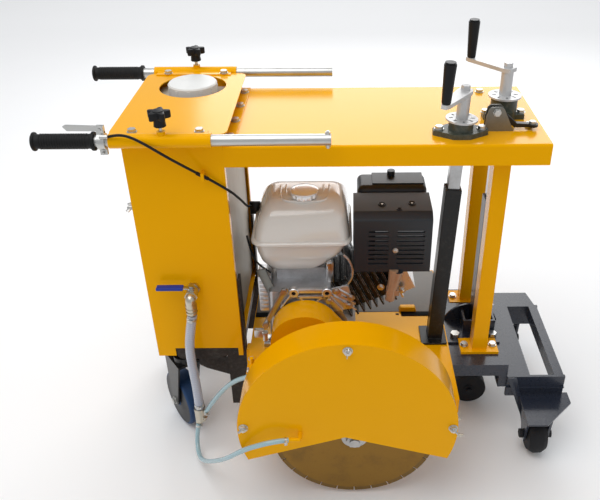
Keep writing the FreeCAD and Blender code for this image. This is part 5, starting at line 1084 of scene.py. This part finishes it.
class SAW_OT_handles(bpy.types.Operator):
    """Makes the push handles, their grips, the clamping knobs and the throttle lever"""
    bl_idname = "saw.handles"
    bl_label = "Handles"

    def execute(self, context):
        for side, sign in (("near", -1), ("far", 1)):
            dress(f"handle_{side}", "zinc", 0.0006)
            self.grip(side, sign)
            self.knob(side, sign)
        dress("throttle_clamp", "zinc", 0.001)
        dress("throttle_lever", "zinc", 0.0012)
        return {"FINISHED"}

    @staticmethod
    def grip(side, sign):
        """Rubber hand grip with a closed outer end and a flange at the inner one"""
        start = facing(spot(-651.3, sign * 225, 902), (1, 0, 0))
        profile = ((0, 0.4), (12, 0), (18, 0.6), (20, 2), (20.4, 4), (20, 6), (16.2, 8), (15.6, 10),
                   (15.8, 60), (16.2, 110), (16.0, 122), (17.5, 126), (20.3, 128), (20.5, 131), (20, 133.6),
                   (18, 134), (12.8, 134), (12.8, 3), (0, 3))
        body, slot = f"handle_{side}", SLOT_OF[f"grip_{side}"]
        grip = Form().lathe(profile, start, 48).piece(f"grip_{side}_sleeve", "rubber", body, slot)
        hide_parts(f"grip_{side}")
        rib = Form().hoop(((15.2, -1.7), (16.6, -1.2), (17.1, 0), (16.6, 1.2), (15.2, 1.7)),
                          Matrix.Identity(4), 40)
        repeated(f"grip_{side}_ribs", rib, start @ Matrix.Translation((0, 0, 0.018)), "rubber", body,
                 19, (0, 0, 5.4))

    @staticmethod
    def knob(side, sign):
        """Five-lobed clamping knob on a threaded stud"""
        foot = facing(spot(-376, sign * 225, 935))
        stem = Form().lathe(((0, 0), (12.6, 0), (13.4, 0.8), (12.8, 5), (12.2, 12), (13, 17), (0, 17)),
                            foot, 32)
        stem.plate(lobed(20.2, 5.2, 5, 100, 18), 17, foot @ Matrix.Translation((0, 0, 0.017)), 3.4)
        stem.lathe(((0, 33), (11, 33), (13, 34), (12, 35.4), (6, 36.2), (0, 36.3)), foot, 32)
        knob = stem.piece(f"knob_{side}_star", "plastic", f"knob_{side}", SLOT_OF[f"knob_{side}"],
                          math.radians(40))
        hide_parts(f"knob_{side}")
        Form().lathe(((0, -23.1), (3.2, -23.1), (4, -22), (4, 0.5), (0, 0.5)), foot, 24).piece(
            f"knob_{side}_stud", "zinc", f"knob_{side}", "zinc_steel")


class SAW_OT_wheels(bpy.types.Operator):
    """Dresses the casters, the front wheels and the guide rollers"""
    bl_idname = "saw.wheels"
    bl_label = "Wheels"

    def execute(self, context):
        for side in ("near", "far"):
            dress(f"caster_fork_{side}", "black", 0.001)
            dress(f"caster_wheel_{side}", "tread", 0.004)
            dress(f"guide_roller_{side}", "wheel", 0.0015)
        dress("front_wheels", "wheel", 0.002)
        for side, turn in CASTER_TURNS:
            middle = middle_of(f"caster_wheel_{side}")
            axle = Vector((-math.sin(math.radians(turn)), math.cos(math.radians(turn)), 0))
            hub = facing(middle, axle)
            face = ((73, 23.1), (66, 23.6), (26, 23.9), (24, 24.6), (0, 24.6))
            Form().lathe([(r, -h) for r, h in reversed(face)] + list(face), hub, 48).piece(
                f"caster_hub_{side}", "plastic", f"caster_wheel_{side}", "black_plastic")
            nuts = Form()
            for sign in (-1, 1):
                seat = facing(middle + axle * sign * (CASTER_HALF / 1000), axle * sign)
                nuts.disc(11, 0, 1.6, seat, 24)
                nuts.lathe(((0, 1.6), (9, 1.6), (9, 7), (8, 8), (0, 8)), seat, 6)
            nuts.piece(f"caster_nuts_{side}", "zinc", f"caster_wheel_{side}", "zinc_steel")
        return {"FINISHED"}


class SAW_OT_cranks(bpy.types.Operator):
    """Dresses the crank castings, the cranks, their grips and the lock"""
    bl_idname = "saw.cranks"
    bl_label = "Cranks"

    def execute(self, context):
        castings = dress("crank_castings", "casting", edges().casting)
        lock = spot(355, -104, 872)
        repaint(castings, "lock",
                lambda middle, way: abs(middle.x - lock.x) < 0.026 and abs(middle.y - lock.y) < 0.014)
        dress("lock_pawl", "black", 0.001)
        Form().lathe(((0, 0), (10, 0), (10, 1.5), (8.5, 1.5), (8.5, 7), (7.5, 8), (0, 8)),
                     facing(spot(355, -115, 917), NEAR), 6).piece("lock_nut", "zinc", "chassis", "zinc_steel")
        Form().lathe(((0, 0), (9, 0), (9, 1.5), (8, 1.5), (8, 6), (0, 7)),
                     facing(spot(441, -104, 886)), 6).piece("lock_screw", "zinc", "lock_pawl", "zinc_steel")
        for number in (1, 2):
            crank = dress(f"crank_{number}", "crank", edges().casting)
            dress(f"crank_{number}_grip", "plastic", 0.003)
            grip_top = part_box(f"crank_{number}_grip")[1][2] - 0.001
            repaint(crank, "plastic", lambda middle, way: middle.z > grip_top)
        return {"FINISHED"}


class SAW_OT_engine(bpy.types.Operator):
    """Builds up the engine: castings, fuel tank, muffler and air cleaner"""
    bl_idname = "saw.engine"
    bl_label = "Engine"

    def execute(self, context):
        dress("crankcase", "alloy", edges().casting)
        # The fins' rounded edges take the pale painted highlight.
        cylinder = dress("engine_cylinder", "fins", 0.0009, rim="fin_edge_highlight")
        shaft = spot(-85, 0, 378)
        back = LEAN.inverted()
        repaint(cylinder, "bright", lambda middle, way: (back.to_3x3() @ (middle - shaft)).x > 0.2455)
        dress("starter_housing", "black", 0.0015)
        dress("air_cleaner", "muffler", 0.003)
        dress("crankshaft", "steel", 0.0008)
        self.fuel_tank()
        self.fuel_cap()
        self.case_front()
        self.brackets()
        self.muffler()
        return {"FINISHED"}

    @staticmethod
    def fuel_tank():
        """Pressed tank: a bowl below the seam and a sloping lid above it"""
        bowl = ((503, -166, -72, -118, 30, 22), (505, -174, -62, -126, 38, 26),
                (514, -186, -46, -134, 46, 28), (532, -198, -22, -140, 51, 28),
                (560, -206, 4, -145, 54, 27), (588, -210, 18, -147, 56, 26))
        seam = ((589.5, -217, 28, -154, 62, 30), (592, -219.5, 30, -156, 64, 31),
                (597, -219.5, 30, -156, 64, 31), (599.5, -217, 28, -154, 62, 30))
        lid = ((601, -211, 24, -150, 57, 28), (622, -208, 23, -149, 57, 30), (642, -202, 20, -147, 54, 30),
               (653, -198, 18, -145, 50, 30), (661, -194, 17, -142, 44, 30), (670, -190, 14, -135, 35, 30),
               (679, -185, 11, -126, 22, 28), (687, -180, 7, -116, 8, 26), (694, -174, 1, -106, -4, 24),
               (698.5, -166, -8, -96, -16, 20), (700, -156, -20, -86, -28, 14))
        form = Form().loft(bowl + seam + lid, HERE, 8)
        tank = form.piece("fuel_tank_pressing", "cream", "deck", SLOT_OF["fuel_tank"])
        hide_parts("fuel_tank")
        ribs = Form()
        for inset in (0, 14):
            ribs.rod([spot(-146 + inset, -38, 699), spot(-147 + inset, -84, 698.5),
                      spot(-138 + inset, -108 + inset, 693.5), spot(-86, -114 + inset, 691.5),
                      spot(-34 - inset, -108 + inset, 693.5), spot(-25 - inset, -84, 698.5),
                      spot(-26 - inset, -38, 699)], 3.2)
        ribs.piece("fuel_tank_beads", "cream", "deck", SLOT_OF["fuel_tank"])
        Form().block((28, 8, 36), facing(spot(-222, 14, 590)), 1.5).piece(
            "cable_stop", "black", "deck", "black_paint")

    @staticmethod
    def fuel_cap():
        """Plated cap with finger lobes"""
        foot = facing(spot(-86, -92, 698))
        form = Form().plate(lobed(30.6, 1.5, 12, 96), 13, foot, 1.6)
        form.lathe(((0, 12), (30, 12), (33.4, 13), (34.5, 14.8), (34.2, 16.6), (31, 18.2), (20, 19.3),
                    (0, 20)), foot, 56)
        cap = form.piece("fuel_cap_cup", "chrome", "fuel_cap", SLOT_OF["fuel_cap"], math.radians(36))
        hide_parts("fuel_cap")

    @staticmethod
    def case_front():
        """Cast ribs and bosses on the crankcase's near face"""
        form = Form()
        form.block((96, 12, 11), facing(spot(-74, -188, 478)), 2)
        form.block((70, 8, 8), facing(spot(-74, -190, 462)), 2)
        for x in (-115.6, -33):
            form.lathe(((0, 0), (12, 0), (13, 1), (13, 13), (11.5, 15), (5.5, 15), (5.5, 12), (0, 12)),
                       facing(spot(x, -182, 480), NEAR), 28)
        for first, last in (((-112, -190, 472), (-78, -190, 444)), ((-36, -190, 472), (-70, -190, 444)),
                            ((-122, -189, 474), (-150, -189, 432)), ((-26, -189, 474), (16, -189, 440)),
                            ((-30, -189, 466), (6, -189, 420)), ((-8, -189, 488), (36, -187, 458)),
                            ((2, -189, 468), (38, -187, 442)), ((8, -189, 448), (40, -187, 424))):
            form.strip(first, last, 4.5, 8)
        form.block((34, 60, 108), facing(spot(-192, -118, 390)), 3)
        form.block((60, 8, 70), facing(spot(8, -182, 420)) @ Matrix.Rotation(-0.25, 4, "Y"), 2)
        form.piece("crankcase_ribs", "bright", "deck", SLOT_OF["crankcase"])
        # Painted shade: near-black discs at the bottoms of the bosses' bores.
        hole_shades = Form()
        for x in (-115.6, -33):
            hole_shades.disc(5.4, 0, 0.6, facing(spot(x, -193.9, 480), NEAR), 20)
        hole_shades.piece("crankcase_hole_shade", "dark", "deck", "black_paint")
        bolts("crankcase_bolts", [spot(-138, -193, 487), spot(-10, -193, 484), spot(26, -190, 462),
                                  spot(22, -190, 437), spot(-28, -190, 452)], NEAR, "deck")
        row = Form().block((26, 3, 7), Matrix.Identity(4), 1)
        repeated("crankcase_grooves", row, facing(spot(-192, -148.5, 400)), "alloy", "deck",
                 7, (0, 0, 13))

    @staticmethod
    def brackets():
        """Belt cover stay, tank brackets, fan shroud and ignition lead"""
        form = Form()
        form.strip((-140, -196, 487), (-190, -200, 387), 13, 5)
        form.disc(9, 0, 6, facing(spot(-189, -202, 388), NEAR), 6)
        form.disc(9, 0, 5, facing(spot(-140, -198, 487), NEAR), 6)
        form.block((15, 8, 62), facing(spot(-24, -150, 484)), 2)
        form.lathe(((0, 0), (9, 0), (9, 7), (6, 8), (6, 12), (0, 12)), facing(spot(-25, -153, 541), NEAR), 24)
        form.piece("engine_stays", "steel", "deck", "zinc_steel")
        form = Form().strip((-198, -154, 524), (-160, -160, 424), 26, 5)
        form.piece("governor_bracket", "lock", "deck", "black_paint")
        # Painted shade: a near-black disc for the bracket's hole.
        Form().disc(4, 0, 0.8, facing(spot(-174, -160.4, 462), NEAR), 16).piece(
            "governor_hole_shade", "dark", "deck", "black_paint")
        arc = arc_of(70, 48, -48, 14, -36, 506) + arc_of(64, -48, 48, 14, -36, 506)
        Form().plate(arc, 78, facing(spot(0, -62, 0), NEAR), 1).piece(
            "fan_shroud", "bright", "deck", SLOT_OF["crankcase"])
        lead = [spot(-238, -70, 572), spot(-226, -110, 552), spot(-206, -146, 532), spot(-172, -156, 516)]
        Form().rod(lead, 2.6).piece("ignition_lead", "rubber", "deck", "black_rubber")

    @staticmethod
    def muffler():
        """Muffler box with its exhaust pipe, guard slats and screws"""
        cover = dress("muffler_cover", "muffler", 0.003)
        low = spot(0, 0, 511).z
        for vertex in cover.data.vertices:
            if vertex.co.z < low:
                vertex.co.x -= 0.013
        repaint(cover, "pipe", lambda middle, way: middle.z < low)
        slats = Form()
        slats.block((36, 1.5, 104), facing(spot(104, -147, 532)), 0.2)
        slats.block((66, 1.5, 104), facing(spot(173, -147, 532)), 0.2)
        slats.piece("muffler_slats", "steel", "deck", SLOT_OF["muffler_cover"])
        rims = Form()
        for x, y, size in ((103.3, -101, 10), (176.9, -97, 10), (144, -124.5, 7)):
            rims.hoop(((size - 4, -2), (size, -2), (size, 1.6), (size - 1.4, 2.6), (size - 4, 1.2)),
                      facing(spot(x, y, 676.8 + 0.04 * (y + 100))), 32)
        rims.piece("muffler_rims", "muffler", "deck", SLOT_OF["muffler_cover"])
        # Painted shade: near-black discs inside the muffler's outlet holes.
        hole_shades = Form()
        for x, y, size in ((103.3, -101, 6.4), (176.9, -97, 6.4), (144, -124.5, 3.4)):
            hole_shades.disc(size, 0, 0.5, facing(spot(x, y, 677.6)), 24)
        hole_shades.piece("muffler_hole_shade", "dark", "deck", "black_paint")
        rivets = Form()
        for x, y in ((103.3, -101), (176.9, -97)):
            rivets.lathe(((0, 0), (3, 0), (2.6, 1.2), (0, 1.8)), facing(spot(x, y, 678)), 16)
        rivets.piece("muffler_rivets", "zinc", "deck", "zinc_steel")
        bolts("muffler_bolts", [spot(136, -153, 577)], NEAR, "deck", head=5.0, washer=7.0)
        bolts("exhaust_bolts", [spot(103, -152, 467), spot(157, -152, 457)], NEAR, "deck")
        bend = [spot(134, -150, 520), spot(134, -152, 492), spot(131, -154, 466), spot(126, -158, 432)]
        Form().rod(bend, 12.6).piece("exhaust_pipe", "pipe", "deck", SLOT_OF["muffler_cover"])


class SAW_OT_blade(bpy.types.Operator):
    """Dresses the blade, its shaft and the belt"""
    bl_idname = "saw.blade"
    bl_label = "Blade and drive"

    def execute(self, context):
        dress("blade", "blade", 0.0004)
        dress("blade_shaft", "steel", 0.0008)
        dress("drive_belt", "rubber", 0.001)
        return {"FINISHED"}


class SAW_OT_valve(bpy.types.Operator):
    """Makes the water valve with its elbow and sleeved lever"""
    bl_idname = "saw.valve"
    bl_label = "Water valve"

    def execute(self, context):
        seat = facing(spot(-362, -191, 496), NEAR)
        form = Form().disc(17, 0, 8, seat, 6)
        form.lathe(((0, 7), (12.5, 7), (13.5, 10), (14.5, 16), (14.5, 32), (13, 38), (0, 38)), seat, 32)
        form.disc(16, 33, 41, seat, 6)
        form.rod([spot(-362, -226, 496), spot(-362, -238, 497), spot(-362.5, -241, 488),
                  spot(-363, -238, 474), spot(-363.3, -237, 452)], 12.4, sides=24)
        for height in (476, 466, 456):
            form.disc(14.2, 0, 4, facing(spot(-363, -237.5, height)), 28)
        form.disc(6, 0, 14, facing(spot(-362, -215, 498)), 20)
        valve = form.piece("water_valve_body", "brass", "chassis", SLOT_OF["water_valve"])
        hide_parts("water_valve")
        form = Form().block((78, 12, 3), facing(spot(-401, -215, 511)), 0.8)
        form.lathe(((0, -1), (10, -1), (10, 4), (6, 4), (6, 8), (0, 8)), facing(spot(-362, -215, 511)), 24)
        lever = form.piece("valve_lever_bar", "steel", "valve_lever", "zinc_steel")
        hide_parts("valve_lever")
        Form().block((66, 19, 8), facing(spot(-414, -215, 508.6)), 3, 3).piece(
            "valve_lever_sleeve", "sleeve", "valve_lever", SLOT_OF["valve_lever"])
        return {"FINISHED"}


class SAW_OT_fasteners(bpy.types.Operator):
    """Dresses the bolts of the frame and the deck"""
    bl_idname = "saw.fasteners"
    bl_label = "Fasteners"

    def execute(self, context):
        dress("frame_bolts", "zinc", 0.0006)
        dress("deck_bolts", "zinc", 0.0006)
        return {"FINISHED"}


# Panel and registration
STEPS = (SAW_OT_stage, SAW_OT_hoses, SAW_OT_cables, SAW_OT_sheet_metal, SAW_OT_frame, SAW_OT_tank,
         SAW_OT_handles, SAW_OT_wheels, SAW_OT_cranks, SAW_OT_engine, SAW_OT_blade, SAW_OT_valve,
         SAW_OT_fasteners)
SETTINGS = (("saw_paints", SawPaints), ("saw_hoses", SawHoses), ("saw_edges", SawEdges),
            ("saw_stage", SawStage))


class SAW_PT_panel(bpy.types.Panel):
    """Lists the settings and the steps that build the saw"""
    bl_idname = "SAW_PT_panel"
    bl_label = "Concrete saw"
    bl_space_type = "VIEW_3D"
    bl_region_type = "UI"
    bl_category = "Saw"

    def draw(self, context):
        for name, group in SETTINGS:
            box = self.layout.box()
            for prop in group.__annotations__:
                box.prop(getattr(context.scene, name), prop)
        column = self.layout.column(align=True)
        for step in STEPS:
            column.operator(step.bl_idname)


def register():
    for group in GROUPS:
        bpy.utils.register_class(group)
    for name, group in SETTINGS:
        setattr(bpy.types.Scene, name, PointerProperty(type=group))
    for step in STEPS:
        bpy.utils.register_class(step)
    bpy.utils.register_class(SAW_PT_panel)


def unregister():
    bpy.utils.unregister_class(SAW_PT_panel)
    for step in reversed(STEPS):
        bpy.utils.unregister_class(step)
    for name, group in SETTINGS:
        delattr(bpy.types.Scene, name)
    for group in reversed(GROUPS):
        bpy.utils.unregister_class(group)


def main():
    register()
    for step in STEPS:
        family, action = step.bl_idname.split(".")
        getattr(getattr(bpy.ops, family), action)()


if __name__ == "__main__":
    main()
